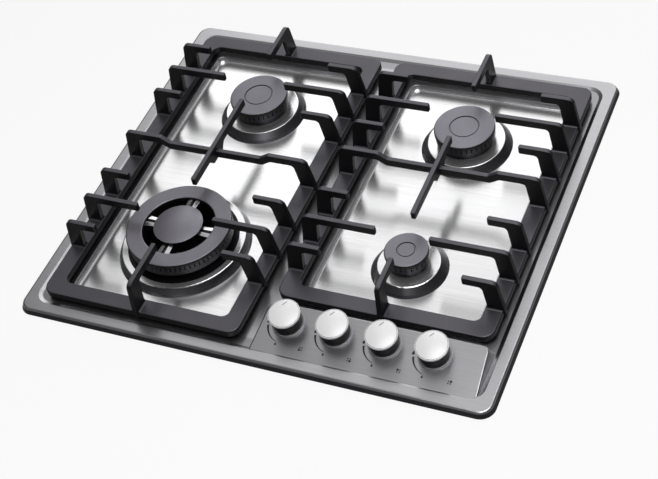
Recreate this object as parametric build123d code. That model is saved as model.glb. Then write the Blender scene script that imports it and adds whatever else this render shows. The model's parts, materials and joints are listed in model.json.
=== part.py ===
"""Built-in gas cooktop, 580 x 510 mm: steel top plate, two cast pan supports, four burners, four gas taps.

Millimetres, +Z up, +X to the right, -Y to the user. The origin is the middle of the plate on the worktop.
"""
from build123d import *
from math import atan, cos, degrees, pi, radians, sin, tan
import os

# ---- Top plate ---------------------------------------------------------------------------------
PLATE_WIDTH = 580.0
PLATE_DEPTH = 510.0
PLATE_CORNER = 17.0
SHEET = 1.0
RIM_HEIGHT = 7.5
SKIRT_LEAN = 3.5
RIM_EDGE_ROUND = 2.8
RIM_BAND = 12.5
RIM_STEP_RUN = 4.5
RIM_STEP_DROP = 2.0
TRAY_DEPTH = 6.5
TRAY_WALL_LEAN = 1.2
TRAY_SIDE_MARGIN = 4.9
TRAY_MIDDLE_MARGIN = 7.5
TRAY_END_MARGIN = 3.5
TRAY_CORNER = 8.0
TRAY_FLOOR_ROUND = 1.2
TRAY_LIP_ROUND = 0.7
PRESS_ROUND = 1.6
STUD_RADIUS = 2.0
STUD_LENGTH = 6.5
STUD_COUNT = 4
STUD_PITCH = 120.0
STUD_END_INSET = 23.0
STUD_INSET = 7.5

# ---- Knob panel --------------------------------------------------------------------------------
PANEL_LEFT = 6.0
PANEL_RIGHT_MARGIN = 1.0
PANEL_FRONT_MARGIN = 3.5
PANEL_LENGTH = 60.0
PANEL_FRONT_RISE = 2.0
PANEL_UNDER_RIM = 8.0
PANEL_TILT = 8.1
PANEL_SIDE_LEAN = 5.5
PANEL_END_LEAN = 2.5
PANEL_ROUND = 2.2
PANEL_REAR_LEFT_CORNER = 14.0
PANEL_REAR_RIGHT_CORNER = 8.0

# ---- Burners: cap and head sizes, and their places from the ends of the pan supports --------------
REAR_BURNER_SETBACK = 107.2
WOK_SETBACK = 120.1
SMALL_SETBACK = 86.4
HEAD_SEAT = 17.0
CAP_SEAT = 26.0
CAP_THICK = 5.7
CAP_EDGE_ROUND = 1.6
CAP_OVERHANG = 0.8
MEDIUM_CAP_RADIUS = 36.6
SMALL_CAP_RADIUS = 25.4
MEDIUM_GROOVE_RADIUS = 16.4
SMALL_GROOVE_RADIUS = 9.4
GROOVE_WIDTH = 1.8
GROOVE_DEPTH = 1.0
GROOVE_SLOPE = 0.5
NECK_INSET = 3.6
CUP_WALL = 3.0
CUP_FLOOR_TOP = -17.0
CUP_FLOOR = 3.0
CUP_FLANGE_REACH = 11.0
CUP_FLANGE_THICK = 3.0
BOSS_HEIGHT = 10.5
BOSS_RISE_RUN = 8.5
BOSS_EDGE_ROUND = 1.6
MEDIUM_BOSS_RADIUS = 46.5
SMALL_BOSS_RADIUS = 36.2
NECK_CLEARANCE = 0.5
HEAD_WALL = 4.0
HEAD_FLOOR = 2.5
HEAD_SPIGOT = 5.0
SPIGOT_CLEARANCE = 0.3
SPIGOT_WALL = 2.0
CAP_LIP_CLEARANCE = 0.4
CAP_LIP_DEPTH = 2.5
CAP_LIP_WALL = 2.0
VENTURI_RADIUS = 8.0
VENTURI_BORE = 6.0
VENTURI_REACH = 22.0
PORT_WIDTH = 1.1
PORT_HEIGHT = 6.0
INNER_PORT_HEIGHT = 3.0
PORT_PITCH = 5.6

# ---- Triple-ring burner --------------------------------------------------------------------------
WOK_CAP_RADIUS = 63.5
WOK_CAP_BORE = 43.5
WOK_CAP_SEAT = 30.0
WOK_CAP_THICK = 5.0
WOK_BOSS_RADIUS = 75.0
WOK_BOSS_RISE_RUN = 5.5
WOK_STEP_RADIUS = 67.0
INNER_CAP_RADIUS = 29.6
INNER_CAP_SEAT = 33.5
INNER_CAP_EDGE = 3.2
INNER_CAP_DOME = 3.8
BRIDGE_WIDTH = 14.0
BRIDGE_TOP = 32.0
BRIDGE_DEPTH = 8.0
BRIDGE_HOLLOW = 3.2
BRIDGE_COUNT = 4

# ---- Pan supports --------------------------------------------------------------------------------
GRATE_GAP = 20.2
GRATE_SIDE_MARGIN = 6.4
GRATE_REAR_MARGIN = 9.0
GRATE_FRONT_MARGIN = 3.5
PANEL_TO_GRATE = 4.0
FRAME_BAND = 20.0
FRAME_THICK = 8.0
FRAME_REAR_CORNER = 12.0
FRAME_FRONT_CORNER = 14.0
FRAME_INNER_CORNER = 9.0
FRAME_EDGE_ROUND = 1.6
FOOT_HEIGHT = 5.0
FOOT_RADIUS = 5.0
FOOT_PIN_RADIUS = 2.5
FOOT_PIN_LENGTH = 3.0
FOOT_PIN_CLEARANCE = 0.05
PAN_HEIGHT = 59.2
BLADE_THICK = 6.0
BLADE_DEPTH = 10.0
BLADE_EDGE_ROUND = 0.9
LEG_LEAN = 7.4
LEG_STAND_OUT = 2.7
LEG_FLARE = 3.6
LEG_WIDTH_TOP = 24.5
LEG_OUTER_ROUND = 8.0
LEG_INNER_ROUND = 5.0
TIP_ROUND = 1.8
TIP_CHAMFER = 1.6
SHORT_REACH = 44.0
LONG_REACH = 85.5
WOK_REACHES = (79.0, 76.0)
SMALL_REACHES = (93.5, 96.0)
REAR_ROW_PITCH = 43.1
FRONT_ROW_PITCH = 43.2
LEFT_CROSSBAR_SHIFT = -5.3
RIGHT_CROSSBAR_SHIFT = 11.25
CROSSBAR_DROP = 7.2
CROSSBAR_HIGH = 72.5
CROSSBAR_LOW = 61.0
BEND_ROUND = 4.0
LEFT_END_REACHES = (62.5, 70.0)
RIGHT_END_REACHES = (66.0, 51.0)
LEFT_MID_BAR_GAPS = (50.9, 36.3)
RIGHT_MID_BAR_GAPS = (29.6, 43.3)
GUSSET_HALF = 12.0
GUSSET_RUN = 7.0
GUSSET_DEPTH = 19.0

# ---- Knobs and gas taps --------------------------------------------------------------------------
KNOB_FIRST_INSET = 33.0
KNOB_PITCH = 57.0
KNOB_COUNT = 4
KNOB_SETBACK = 33.45
KNOB_CAP_RADIUS = 18.2
KNOB_CAP_BAND = 3.0
KNOB_CAP_EDGE = 22.0
KNOB_DOME = 2.5
KNOB_EDGE_ROUND = 0.9
KNOB_BODY_RADIUS = 16.6
KNOB_BODY_TAPER = 0.6
KNOB_WALL = 1.8
KNOB_HUB_RADIUS = 7.0
KNOB_TRAVEL = 3.2
POINTER_LENGTH = 9.0
POINTER_WIDTH = 1.3
POINTER_DEPTH = 0.5
POINTER_START = 6.5
BEZEL_RADIUS = 18.3
BEZEL_HEIGHT = 3.2
BEZEL_FLOOR = 1.0
BEZEL_CLEARANCE = 0.7
BEZEL_ROUND = 0.6
STEM_RADIUS = 4.0
STEM_FLAT = 3.0
STEM_FIT = 0.05
STEM_HOLE_CLEARANCE = 1.5
STEM_TOP = 16.5
STEM_BOTTOM = -24.0
TAP_WIDTH = 24.0
TAP_TOP = -16.0
TAP_BOTTOM = -44.0
TAP_NECK_RADIUS = 9.0
TAP_NECK_TOP = -9.0
TAP_PORT_RADIUS = 6.5
TAP_PORT_REACH = 8.0
PLUG_TOP = -18.5
PLUG_BOTTOM = -41.0
PLUG_TOP_RADIUS = 8.0
PLUG_BOTTOM_RADIUS = 6.5
PLUG_FIT = 0.05
SPRING_RADIUS = 2.9
SPRING_WIRE = 0.4
SPRING_LENGTH = 7.0
SPRING_TURNS = 5
SWITCH_SIZE = (20.0, 15.0, 6.0)

# ---- Gas rail, pipes and jets --------------------------------------------------------------------
RAIL_RADIUS = 7.0
RAIL_WALL = 1.5
RAIL_HEIGHT = -42.0
RAIL_END_INSET = 22.0
RAIL_SIDE_GAP = 23.0
RAIL_BEND = 25.0
THREAD_RADIUS = 10.48
THREAD_LENGTH = 14.0
THREAD_RELIEF = 1.0
INLET_BORE = 6.0
INLET_HEX = 13.0
INLET_HEX_LENGTH = 10.0
INLET_FIT = 0.05
RAIL_SADDLE = (14.0, 24.0)
SADDLE_COUNT = 2
PIPE_RADIUS = 4.0
PIPE_WALL = 0.8
PIPE_HEIGHT = -28.0
PIPE_BEND = 14.0
PIPE_INSERT = 5.0
PIPE_FIT = 0.05
HOLDER_RADIUS = 10.5
HOLDER_BOTTOM = -38.0
JET_HEX = 5.0
JET_HEX_LENGTH = 7.0
JET_THREAD_RADIUS = 3.0
JET_THREAD_LENGTH = 7.0
JET_BORE = 0.6
JET_FIT = 0.05

# ---- Spark plugs ---------------------------------------------------------------------------------
SPARK_ANGLE = 122.5
SPARK_RADIUS = 2.8
SPARK_GAP = 4.9
SPARK_BOTTOM = -6.0
SPARK_TOP = 17.5
SPARK_TIP_TOP = 23.5
SPARK_TIP_RADIUS = 0.8
SPARK_COLLAR = 4.4
SPARK_COLLAR_LENGTH = 3.0
SPARK_FIT = 0.05
SPARK_HOLE_CLEARANCE = 0.5
LEAD_RADIUS = 1.25
LEAD_HEIGHT = -14.0
LEAD_BEND = 4.0
GENERATOR_SIZE = (70.0, 40.0, 26.0)
GENERATOR_X = 15.0
GENERATOR_BACK_GAP = 68.0

# ---- Burner box, seal and clamps -----------------------------------------------------------------
BOX_MARGIN = 1.5
BOX_BOTTOM = -56.0
BOX_SHEET = 0.8
BOX_CORNER = 8.0
BOX_FLANGE = 12.0
VENT_LENGTH = 34.0
VENT_WIDTH = 4.0
VENT_COLUMNS = 5
VENT_ROWS = 3
VENT_PITCH = (60.0, 14.0)
VENT_BACK_GAP = 33.0
NUT_RADIUS = 4.0
NUT_THICK = 3.2
SEAL_WIDTH = 6.0
SEAL_INSET = 6.2
SUPPORT_WIDTH = 60.0
SUPPORT_SHEET = 1.0
SUPPORT_FOOT = 9.0
SUPPORT_REAR_REACH = 56.7
LEFT_SUPPORT_REACH = 16.1
RIGHT_SUPPORT_REACH = 44.4
CUP_SCREW_RADIUS = 2.0
CUP_SCREW_LENGTH = 5.0
CUP_SCREW_SPACING = 15.0
SCREW_HEAD_RADIUS = 3.6
SCREW_HEAD_THICK = 2.4
SCREW_FIT = 0.05
CLAMP_END_INSET = 83.0
CLAMP_WIDTH = 20.0
CLAMP_SHEET = 1.5
CLAMP_REACH = 22.0
CLAMP_LOW = -52.0
CLAMP_HIGH = -34.0
CLAMP_TIP = 3.0
CLAMP_SCREW_HEIGHT = -44.0
CLAMP_SCREW_LENGTH = 8.0

# ---- Worked-out sizes ----------------------------------------------------------------------------
LEDGE = RIM_HEIGHT - RIM_STEP_DROP
TRAY_FLOOR = LEDGE - TRAY_DEPTH
BOSS_TOP = TRAY_FLOOR + BOSS_HEIGHT
LEAN_ANGLE = degrees(atan(SKIRT_LEAN / RIM_HEIGHT))
LEDGE_HALF = (PLATE_WIDTH / 2 - SKIRT_LEAN - RIM_BAND - RIM_STEP_RUN,
              PLATE_DEPTH / 2 - SKIRT_LEAN - RIM_BAND - RIM_STEP_RUN)
LEDGE_CORNER = PLATE_CORNER - SKIRT_LEAN
PANEL_RIGHT = LEDGE_HALF[0] - PANEL_RIGHT_MARGIN
PANEL_FRONT = -LEDGE_HALF[1] + PANEL_FRONT_MARGIN
PANEL_REAR = PANEL_FRONT + PANEL_LENGTH
KNOB_Y = PANEL_FRONT + KNOB_SETBACK
KNOB_FIRST_X = PANEL_LEFT + KNOB_FIRST_INSET
FRAME_BOTTOM = LEDGE + FOOT_HEIGHT
FRAME_TOP = FRAME_BOTTOM + FRAME_THICK
GRATE_HALF = (LEDGE_HALF[0] - GRATE_SIDE_MARGIN - GRATE_GAP / 2) / 2
GRATE_X = GRATE_GAP / 2 + GRATE_HALF
GRATE_REAR = LEDGE_HALF[1] - GRATE_REAR_MARGIN
LEFT_GRATE_FRONT = -LEDGE_HALF[1] + GRATE_FRONT_MARGIN
RIGHT_GRATE_FRONT = PANEL_REAR + PANEL_TO_GRATE
BURNER_X = GRATE_X
REAR_BURNER_Y = GRATE_REAR - REAR_BURNER_SETBACK
WOK_Y = LEFT_GRATE_FRONT + WOK_SETBACK
SMALL_Y = RIGHT_GRATE_FRONT + SMALL_SETBACK
LEFT_CROSSBAR_Y = (REAR_BURNER_Y + WOK_Y) / 2 + LEFT_CROSSBAR_SHIFT
RIGHT_CROSSBAR_Y = (REAR_BURNER_Y + SMALL_Y) / 2 + RIGHT_CROSSBAR_SHIFT
LEFT_MID_BAR = (WOK_Y + LEFT_MID_BAR_GAPS[0], REAR_BURNER_Y - LEFT_MID_BAR_GAPS[1])
RIGHT_MID_BAR = (SMALL_Y + RIGHT_MID_BAR_GAPS[0], REAR_BURNER_Y - RIGHT_MID_BAR_GAPS[1])
TRAY_NEAR = GRATE_GAP / 2 + FRAME_BAND + TRAY_MIDDLE_MARGIN
TRAY_FAR = GRATE_GAP / 2 + 2 * GRATE_HALF - FRAME_BAND - TRAY_SIDE_MARGIN
TRAY_REAR = GRATE_REAR - FRAME_BAND - TRAY_END_MARGIN
LEFT_TRAY_FRONT = LEFT_GRATE_FRONT + FRAME_BAND + TRAY_END_MARGIN
RIGHT_TRAY_FRONT = RIGHT_GRATE_FRONT + FRAME_BAND + TRAY_END_MARGIN
BOX_WIDTH = 2 * (LEDGE_HALF[0] - BOX_MARGIN)
BOX_DEPTH = 2 * (LEDGE_HALF[1] - BOX_MARGIN)
RAIL_LEFT = KNOB_FIRST_X - RAIL_END_INSET
RAIL_RIGHT = BOX_WIDTH / 2 - RAIL_SIDE_GAP
CLAMP_Y = BOX_DEPTH / 2 - CLAMP_END_INSET
GENERATOR_PLACE = (GENERATOR_X, BOX_DEPTH / 2 - GENERATOR_BACK_GAP)
PANEL_BASE = LEDGE + PANEL_FRONT_RISE
KNOB_Z = PANEL_BASE + (KNOB_Y - PANEL_FRONT) * tan(radians(PANEL_TILT))
BOX_FLOOR_TOP = BOX_BOTTOM + BOX_SHEET
BOX_TOP = LEDGE - SHEET
CUP_BOTTOM = CUP_FLOOR_TOP - CUP_FLOOR
BEZEL_BORE = KNOB_BODY_RADIUS + BEZEL_CLEARANCE
KNOB_BODY_BOTTOM = BEZEL_FLOOR + KNOB_TRAVEL + 0.6
KNOB_BODY_TOP = KNOB_CAP_EDGE - KNOB_CAP_BAND
RAIL_DEPTH = (KNOB_Z - RAIL_HEIGHT) / cos(radians(PANEL_TILT))
RAIL_Y = KNOB_Y + RAIL_DEPTH * sin(radians(PANEL_TILT))
PIPE_DEPTH = (KNOB_Z - PIPE_HEIGHT) / cos(radians(PANEL_TILT))
PIPE_START_Y = KNOB_Y + PIPE_DEPTH * sin(radians(PANEL_TILT)) + TAP_WIDTH / 2 + TAP_PORT_REACH - PIPE_INSERT
KNOB_XS = [KNOB_FIRST_X + KNOB_PITCH * i for i in range(KNOB_COUNT)]


class Burner:
    """Place and sizes of one burner."""

    def __init__(self, name, x, y, cap, boss, boss_run):
        self.name = name
        self.place = (x, y)
        self.cap = cap
        self.head = cap - CAP_OVERHANG
        self.neck = self.head - NECK_INSET
        self.opening = self.neck + NECK_CLEARANCE
        self.flange = self.neck + CUP_FLANGE_REACH
        self.boss = boss
        self.boss_run = boss_run
        self.spark = self.head + SPARK_GAP
        angle = radians(SPARK_ANGLE)
        self.spark_place = (x + self.spark * cos(angle), y + self.spark * sin(angle))


REAR_LEFT = Burner("rear_left", -BURNER_X, REAR_BURNER_Y, MEDIUM_CAP_RADIUS, MEDIUM_BOSS_RADIUS, BOSS_RISE_RUN)
REAR_RIGHT = Burner("rear_right", BURNER_X, REAR_BURNER_Y, MEDIUM_CAP_RADIUS, MEDIUM_BOSS_RADIUS, BOSS_RISE_RUN)
FRONT_RIGHT = Burner("front_right", BURNER_X, SMALL_Y, SMALL_CAP_RADIUS, SMALL_BOSS_RADIUS, BOSS_RISE_RUN)
FRONT_LEFT = Burner("front_left", -BURNER_X, WOK_Y, WOK_CAP_RADIUS, WOK_BOSS_RADIUS, WOK_BOSS_RISE_RUN)
FRONT_LEFT.opening = WOK_STEP_RADIUS + NECK_CLEARANCE
FRONT_LEFT.flange = WOK_STEP_RADIUS + CUP_FLANGE_THICK * 2
BURNERS = (REAR_LEFT, REAR_RIGHT, FRONT_RIGHT, FRONT_LEFT)


# ---- Shared shapes -------------------------------------------------------------------------------
def outline(*corners):
    """A flat face from corners (x, y) or (x, y, round)."""
    face = make_face(Polyline(*[(c[0], c[1]) for c in corners], close=True))
    for corner in corners:
        if len(corner) == 3:
            vertex = face.vertices().sort_by_distance((corner[0], corner[1], 0))[0]
            face = fillet(vertex, corner[2])
    return face


def turned(*corners):
    """A solid turned about Z from corners (radius, height) or (radius, height, round)."""
    return revolve(Plane.XZ * outline(*corners), Axis.Z)


def tube_ring(outer, inner, low, high):
    """A plain ring between two heights."""
    return turned((inner, low), (outer, low), (outer, high), (inner, high))


def rod(radius, low, high):
    """An upright cylinder between two heights."""
    return Pos(0, 0, (low + high) / 2) * Cylinder(radius, high - low)


def block(x_span, y_span, z_span):
    """A box from its spans."""
    size = [span[1] - span[0] for span in (x_span, y_span, z_span)]
    middle = [(span[1] + span[0]) / 2 for span in (x_span, y_span, z_span)]
    return Pos(*middle) * Box(*size)


def rounded_block(half_x, half_y, corner, low, high):
    """A block with upright rounded corners, about the origin."""
    return extrude(Pos(0, 0, low) * RectangleRounded(2 * half_x, 2 * half_y, corner), high - low)


def hexagon(radius, low, high):
    """A hexagonal prism, radius to the corners."""
    return extrude(Pos(0, 0, low) * RegularPolygon(radius, 6), high - low)


def at(burner):
    """The burner's upright axis."""
    return Pos(burner.place[0], burner.place[1], 0)


def knob_plane(x):
    """The plane on the panel under a knob, its Z along the knob's axis."""
    lean = radians(PANEL_TILT)
    return Plane(origin=(x, KNOB_Y, KNOB_Z), x_dir=(1, 0, 0), z_dir=(0, -sin(lean), cos(lean)))


# ---- Top plate -----------------------------------------------------------------------------------
def tray_spans():
    """Plan spans of the two trays."""
    left = ((-TRAY_FAR, -TRAY_NEAR), (LEFT_TRAY_FRONT, TRAY_REAR))
    right = ((TRAY_NEAR, TRAY_FAR), (RIGHT_TRAY_FRONT, TRAY_REAR))
    return left, right


def tray_cutter(spans, inset):
    """The hollow of one tray, down to the sheet's upper side, or its lower side with an inset."""
    (left, right), (front, rear) = spans
    width = right - left - 2 * TRAY_WALL_LEAN + 2 * inset
    depth = rear - front - 2 * TRAY_WALL_LEAN + 2 * inset
    floor = TRAY_FLOOR - inset
    plan = Pos((left + right) / 2, (front + rear) / 2, floor) * RectangleRounded(
        width, depth, TRAY_CORNER - TRAY_WALL_LEAN + inset)
    lean = degrees(atan(TRAY_WALL_LEAN / TRAY_DEPTH))
    hollow = extrude(plan, TRAY_DEPTH + inset + 2 * TRAY_DEPTH, taper=-lean)
    floor_edges = hollow.edges().group_by(Axis.Z)[0]
    return fillet(floor_edges, TRAY_FLOOR_ROUND + inset)


def boss(burner, inset):
    """The raised cone of the plate round one burner."""
    height = BOSS_TOP - inset
    foot = burner.boss + burner.boss_run
    slope = burner.boss_run / BOSS_HEIGHT
    low = TRAY_FLOOR - 2.0
    foot_low = foot + slope * 2.0
    corners = ((0, low), (foot_low - inset, low), (burner.boss - inset * 0.6, height, BOSS_EDGE_ROUND), (0, height))
    return at(burner) * turned(*corners)


def panel(inset):
    """The sloping knob panel, a wedge with leaning ends."""
    slope = tan(radians(PANEL_TILT))
    rise = (PANEL_REAR - PANEL_END_LEAN - PANEL_FRONT) * slope
    low = LEDGE - 3.0
    front = PANEL_FRONT - PANEL_UNDER_RIM + inset
    rear = PANEL_REAR - inset
    side = outline(
        (front, low - inset), (front, PANEL_BASE - PANEL_UNDER_RIM * slope - inset),
        (rear - PANEL_END_LEAN, PANEL_BASE + rise - inset), (rear, low - inset))
    wedge = extrude(Plane.YZ * side, 2 * PLATE_WIDTH, both=True)
    top = PANEL_BASE + rise
    left = PANEL_LEFT + inset
    right = PANEL_RIGHT - inset
    fall = PANEL_SIDE_LEAN / (top - LEDGE)
    over = 4.0
    ends = outline(
        (left - (LEDGE - low) * 0.2, low), (left + (top + over - LEDGE) * 0.2, top + over),
        (right - (top + over - LEDGE) * fall, top + over), (right + (LEDGE - low) * fall, low))
    across = extrude(Plane.XZ * ends, 2 * PLATE_DEPTH, both=True)
    solid = wedge & across
    for x, y, radius in ((left, rear, PANEL_REAR_LEFT_CORNER), (right, rear, PANEL_REAR_RIGHT_CORNER)):
        corner = [e for e in solid.edges() if abs((e % 0.5).Z) > 0.3]
        nearest = min(corner, key=lambda e: abs(e.center().X - x) + abs(e.center().Y - y))
        solid = fillet(nearest, radius - inset)
    upper = [e for e in solid.edges()
             if e.center().Z > LEDGE and e.center().Y > front + 1 and abs((e % 0.5).Z) < 0.3]
    return fillet(upper, PANEL_ROUND)


def plate_region(inset):
    """All that lies below the plate's upper side, or below its lower side with an inset."""
    side_inset = inset / cos(radians(LEAN_ANGLE))
    plan = RectangleRounded(
        PLATE_WIDTH - 2 * side_inset, PLATE_DEPTH - 2 * side_inset, PLATE_CORNER - side_inset)
    rim = extrude(plan, RIM_HEIGHT - inset, taper=LEAN_ANGLE)
    top_edges = rim.edges().group_by(Axis.Z)[-1]
    rim = fillet(top_edges, RIM_EDGE_ROUND - inset)
    step_lean = degrees(atan(RIM_STEP_RUN / RIM_STEP_DROP))
    ledge_plan = Pos(0, 0, LEDGE - inset) * RectangleRounded(
        2 * (LEDGE_HALF[0] + inset * 0.3), 2 * (LEDGE_HALF[1] + inset * 0.3), LEDGE_CORNER)
    ledge_hollow = extrude(ledge_plan, 2 * RIM_STEP_DROP, taper=-step_lean)
    region = rim - ledge_hollow
    step_top = [e for e in region.edges()
                if abs(e.center().Z - RIM_HEIGHT + inset) < 0.01 and inside_band(e)]
    step_foot = [e for e in region.edges() if abs(e.center().Z - LEDGE + inset) < 0.01]
    region = fillet(step_top, PRESS_ROUND)
    step_foot = [e for e in region.edges() if abs(e.center().Z - LEDGE + inset) < 0.01]
    region = fillet(step_foot, PRESS_ROUND)
    region += rounded_block(LEDGE_HALF[0], LEDGE_HALF[1], LEDGE_CORNER, TRAY_FLOOR - 4 * TRAY_DEPTH, 0)
    for spans in tray_spans():
        region -= tray_cutter(spans, inset)
    lip = [e for e in region.edges() if abs(e.center().Z - LEDGE + inset) < 0.01 and tray_lip(e)]
    region = fillet(lip, TRAY_LIP_ROUND)
    for burner in BURNERS:
        region += boss(burner, inset)
    return region + panel(inset)


def inside_band(edge):
    """True for an edge on the inner side of the rim's flat band."""
    middle = edge.center()
    clear = SKIRT_LEAN + RIM_BAND / 2
    return abs(middle.X) < PLATE_WIDTH / 2 - clear and abs(middle.Y) < PLATE_DEPTH / 2 - clear


def tray_lip(edge):
    """True for an edge at the top of a tray's wall."""
    middle = edge.center()
    clear = GRATE_SIDE_MARGIN + FRAME_BAND / 2
    return abs(middle.X) < LEDGE_HALF[0] - clear and abs(middle.Y) < LEDGE_HALF[1] - clear


def stud_places():
    """Plan places of the weld studs under the plate's two side ledges."""
    x = BOX_WIDTH / 2 - STUD_INSET
    rear = BOX_DEPTH / 2 - STUD_END_INSET
    return [(side * x, rear - STUD_PITCH * i) for side in (-1, 1) for i in range(STUD_COUNT)]


def make_top_plate():
    """The pressed steel plate with its burner, stem and spark plug holes and its weld studs."""
    plate = plate_region(0) - plate_region(SHEET)
    for burner in BURNERS:
        plate -= at(burner) * rod(burner.opening, TRAY_FLOOR - TRAY_DEPTH, BOSS_TOP + TRAY_DEPTH)
        hole = rod(SPARK_RADIUS + SPARK_HOLE_CLEARANCE, TRAY_FLOOR - TRAY_DEPTH, BOSS_TOP + TRAY_DEPTH)
        plate -= Pos(burner.spark_place[0], burner.spark_place[1], 0) * hole
    for x in KNOB_XS:
        plate -= knob_plane(x) * Cylinder(STEM_RADIUS + STEM_HOLE_CLEARANCE, 8 * SHEET)
    for x, y in stud_places():
        plate += Pos(x, y, 0) * rod(STUD_RADIUS, LEDGE - SHEET - STUD_LENGTH, LEDGE - SHEET / 2)
    return plate


# ---- Box, seal, clamps ---------------------------------------------------------------------------
def make_seal():
    """The foam seal under the rim."""
    half_x = PLATE_WIDTH / 2 - SEAL_INSET
    half_y = PLATE_DEPTH / 2 - SEAL_INSET
    outer = rounded_block(half_x, half_y, LEDGE_CORNER, 0, RIM_HEIGHT - SHEET)
    inner = rounded_block(half_x - SEAL_WIDTH, half_y - SEAL_WIDTH, LEDGE_CORNER - SEAL_WIDTH, -1, RIM_HEIGHT)
    return outer - inner


def clamp_sides():
    """Side sign and Y of each fixing clamp."""
    return [(side, y) for side in (-1, 1) for y in (-CLAMP_Y, CLAMP_Y)]


def make_burner_box():
    """The folded sheet box under the plate."""
    half_x = BOX_WIDTH / 2
    half_y = BOX_DEPTH / 2
    box = rounded_block(half_x, half_y, BOX_CORNER, BOX_BOTTOM, BOX_TOP)
    box -= rounded_block(half_x - BOX_SHEET, half_y - BOX_SHEET, BOX_CORNER - BOX_SHEET,
                         BOX_FLOOR_TOP, BOX_TOP - BOX_SHEET)
    box -= rounded_block(half_x - BOX_FLANGE, half_y - BOX_FLANGE, BOX_CORNER, BOX_FLOOR_TOP, BOX_TOP + 1)
    for x, y in stud_places():
        box -= Pos(x, y, 0) * rod(STUD_RADIUS + SCREW_FIT, BOX_TOP - 2 * BOX_SHEET, BOX_TOP + 1)
    for side, y in clamp_sides():
        hole = Rot(0, 90, 0) * Cylinder(CUP_SCREW_RADIUS + SCREW_FIT, 6 * BOX_SHEET)
        box -= Pos(side * half_x, y, CLAMP_SCREW_HEIGHT) * hole
    box -= Pos(RAIL_RIGHT, half_y, RAIL_HEIGHT) * (Rot(90, 0, 0) * Cylinder(THREAD_RADIUS + INLET_FIT, 8 * BOX_SHEET))
    vent = Box(VENT_LENGTH, VENT_WIDTH, 6 * BOX_SHEET)
    for column in range(VENT_COLUMNS):
        for row in range(VENT_ROWS):
            x = (column - (VENT_COLUMNS - 1) / 2) * VENT_PITCH[0]
            y = half_y - VENT_BACK_GAP + (row - (VENT_ROWS - 1) / 2) * VENT_PITCH[1]
            box -= Pos(x, y, BOX_BOTTOM) * vent
    return box


def make_box_nuts():
    """The nuts on the weld studs, under the box's flange."""
    nut = hexagon(NUT_RADIUS, BOX_TOP - BOX_SHEET - NUT_THICK, BOX_TOP - BOX_SHEET)
    nut -= rod(STUD_RADIUS + SCREW_FIT, BOX_TOP - BOX_SHEET - NUT_THICK - 1, BOX_TOP)
    return Compound(children=[Pos(x, y, 0) * nut for x, y in stud_places()])


def make_clamps():
    """The four bent clamps that reach under the worktop."""
    wall = BOX_WIDTH / 2
    clamps = []
    for side, y in clamp_sides():
        profile = outline(
            (wall, CLAMP_LOW), (wall + CLAMP_SHEET, CLAMP_LOW), (wall + CLAMP_SHEET, CLAMP_HIGH - CLAMP_SHEET),
            (wall + CLAMP_REACH, CLAMP_HIGH - CLAMP_SHEET), (wall + CLAMP_REACH, CLAMP_HIGH + CLAMP_TIP),
            (wall + CLAMP_REACH - CLAMP_SHEET, CLAMP_HIGH + CLAMP_TIP), (wall + CLAMP_REACH - CLAMP_SHEET, CLAMP_HIGH),
            (wall, CLAMP_HIGH))
        clamp = extrude(Plane.XZ * profile, CLAMP_WIDTH / 2, both=True)
        hole = Rot(0, 90, 0) * Cylinder(CUP_SCREW_RADIUS + SCREW_FIT, 6 * CLAMP_SHEET)
        clamp -= Pos(wall, 0, CLAMP_SCREW_HEIGHT) * hole
        turn = 0 if side > 0 else 180
        clamps.append(Pos(0, y, 0) * (Rot(0, 0, turn) * clamp))
    return Compound(children=clamps)


def make_clamp_screws():
    """The screws that hold the clamps to the box's side walls."""
    shank = rod(CUP_SCREW_RADIUS, -CLAMP_SCREW_LENGTH, 0)
    screw = shank + turned((0, 0), (SCREW_HEAD_RADIUS, 0), (SCREW_HEAD_RADIUS, SCREW_HEAD_THICK, 1.0),
                           (0, SCREW_HEAD_THICK))
    place = BOX_WIDTH / 2 + CLAMP_SHEET
    return Compound(children=[
        Pos(side * place, y, CLAMP_SCREW_HEIGHT) * (Rot(0, 90 * side, 0) * screw) for side, y in clamp_sides()])


def make_burner_supports():
    """The two channels on the box's floor that carry the burner cups."""
    channels = []
    half = SUPPORT_WIDTH / 2
    top = CUP_BOTTOM
    rear = REAR_BURNER_Y + SUPPORT_REAR_REACH
    for side, front, burners in ((-1, WOK_Y - LEFT_SUPPORT_REACH, (FRONT_LEFT, REAR_LEFT)),
                                 (1, SMALL_Y - RIGHT_SUPPORT_REACH, (FRONT_RIGHT, REAR_RIGHT))):
        middle = side * BURNER_X
        channel = block((middle - half, middle + half), (front, rear), (BOX_FLOOR_TOP, top))
        channel -= block((middle - half + SUPPORT_SHEET, middle + half - SUPPORT_SHEET), (front - 1, rear + 1),
                         (BOX_FLOOR_TOP - 1, top - SUPPORT_SHEET))
        for edge in (middle - half - SUPPORT_FOOT / 2, middle + half + SUPPORT_FOOT / 2):
            channel += block((edge - SUPPORT_FOOT / 2, edge + SUPPORT_FOOT / 2), (front, rear),
                             (BOX_FLOOR_TOP, BOX_FLOOR_TOP + SUPPORT_SHEET))
        for burner in burners:
            channel -= at(burner) * rod(HOLDER_RADIUS + NECK_CLEARANCE, top - 3 * SUPPORT_SHEET, top + 1)
            for shift in (-CUP_SCREW_SPACING, CUP_SCREW_SPACING):
                channel -= at(burner) * (Pos(shift, 0, 0) * rod(
                    CUP_SCREW_RADIUS + SCREW_FIT, top - 3 * SUPPORT_SHEET, top + 1))
        channels.append(channel)
    return Compound(children=channels)


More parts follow.
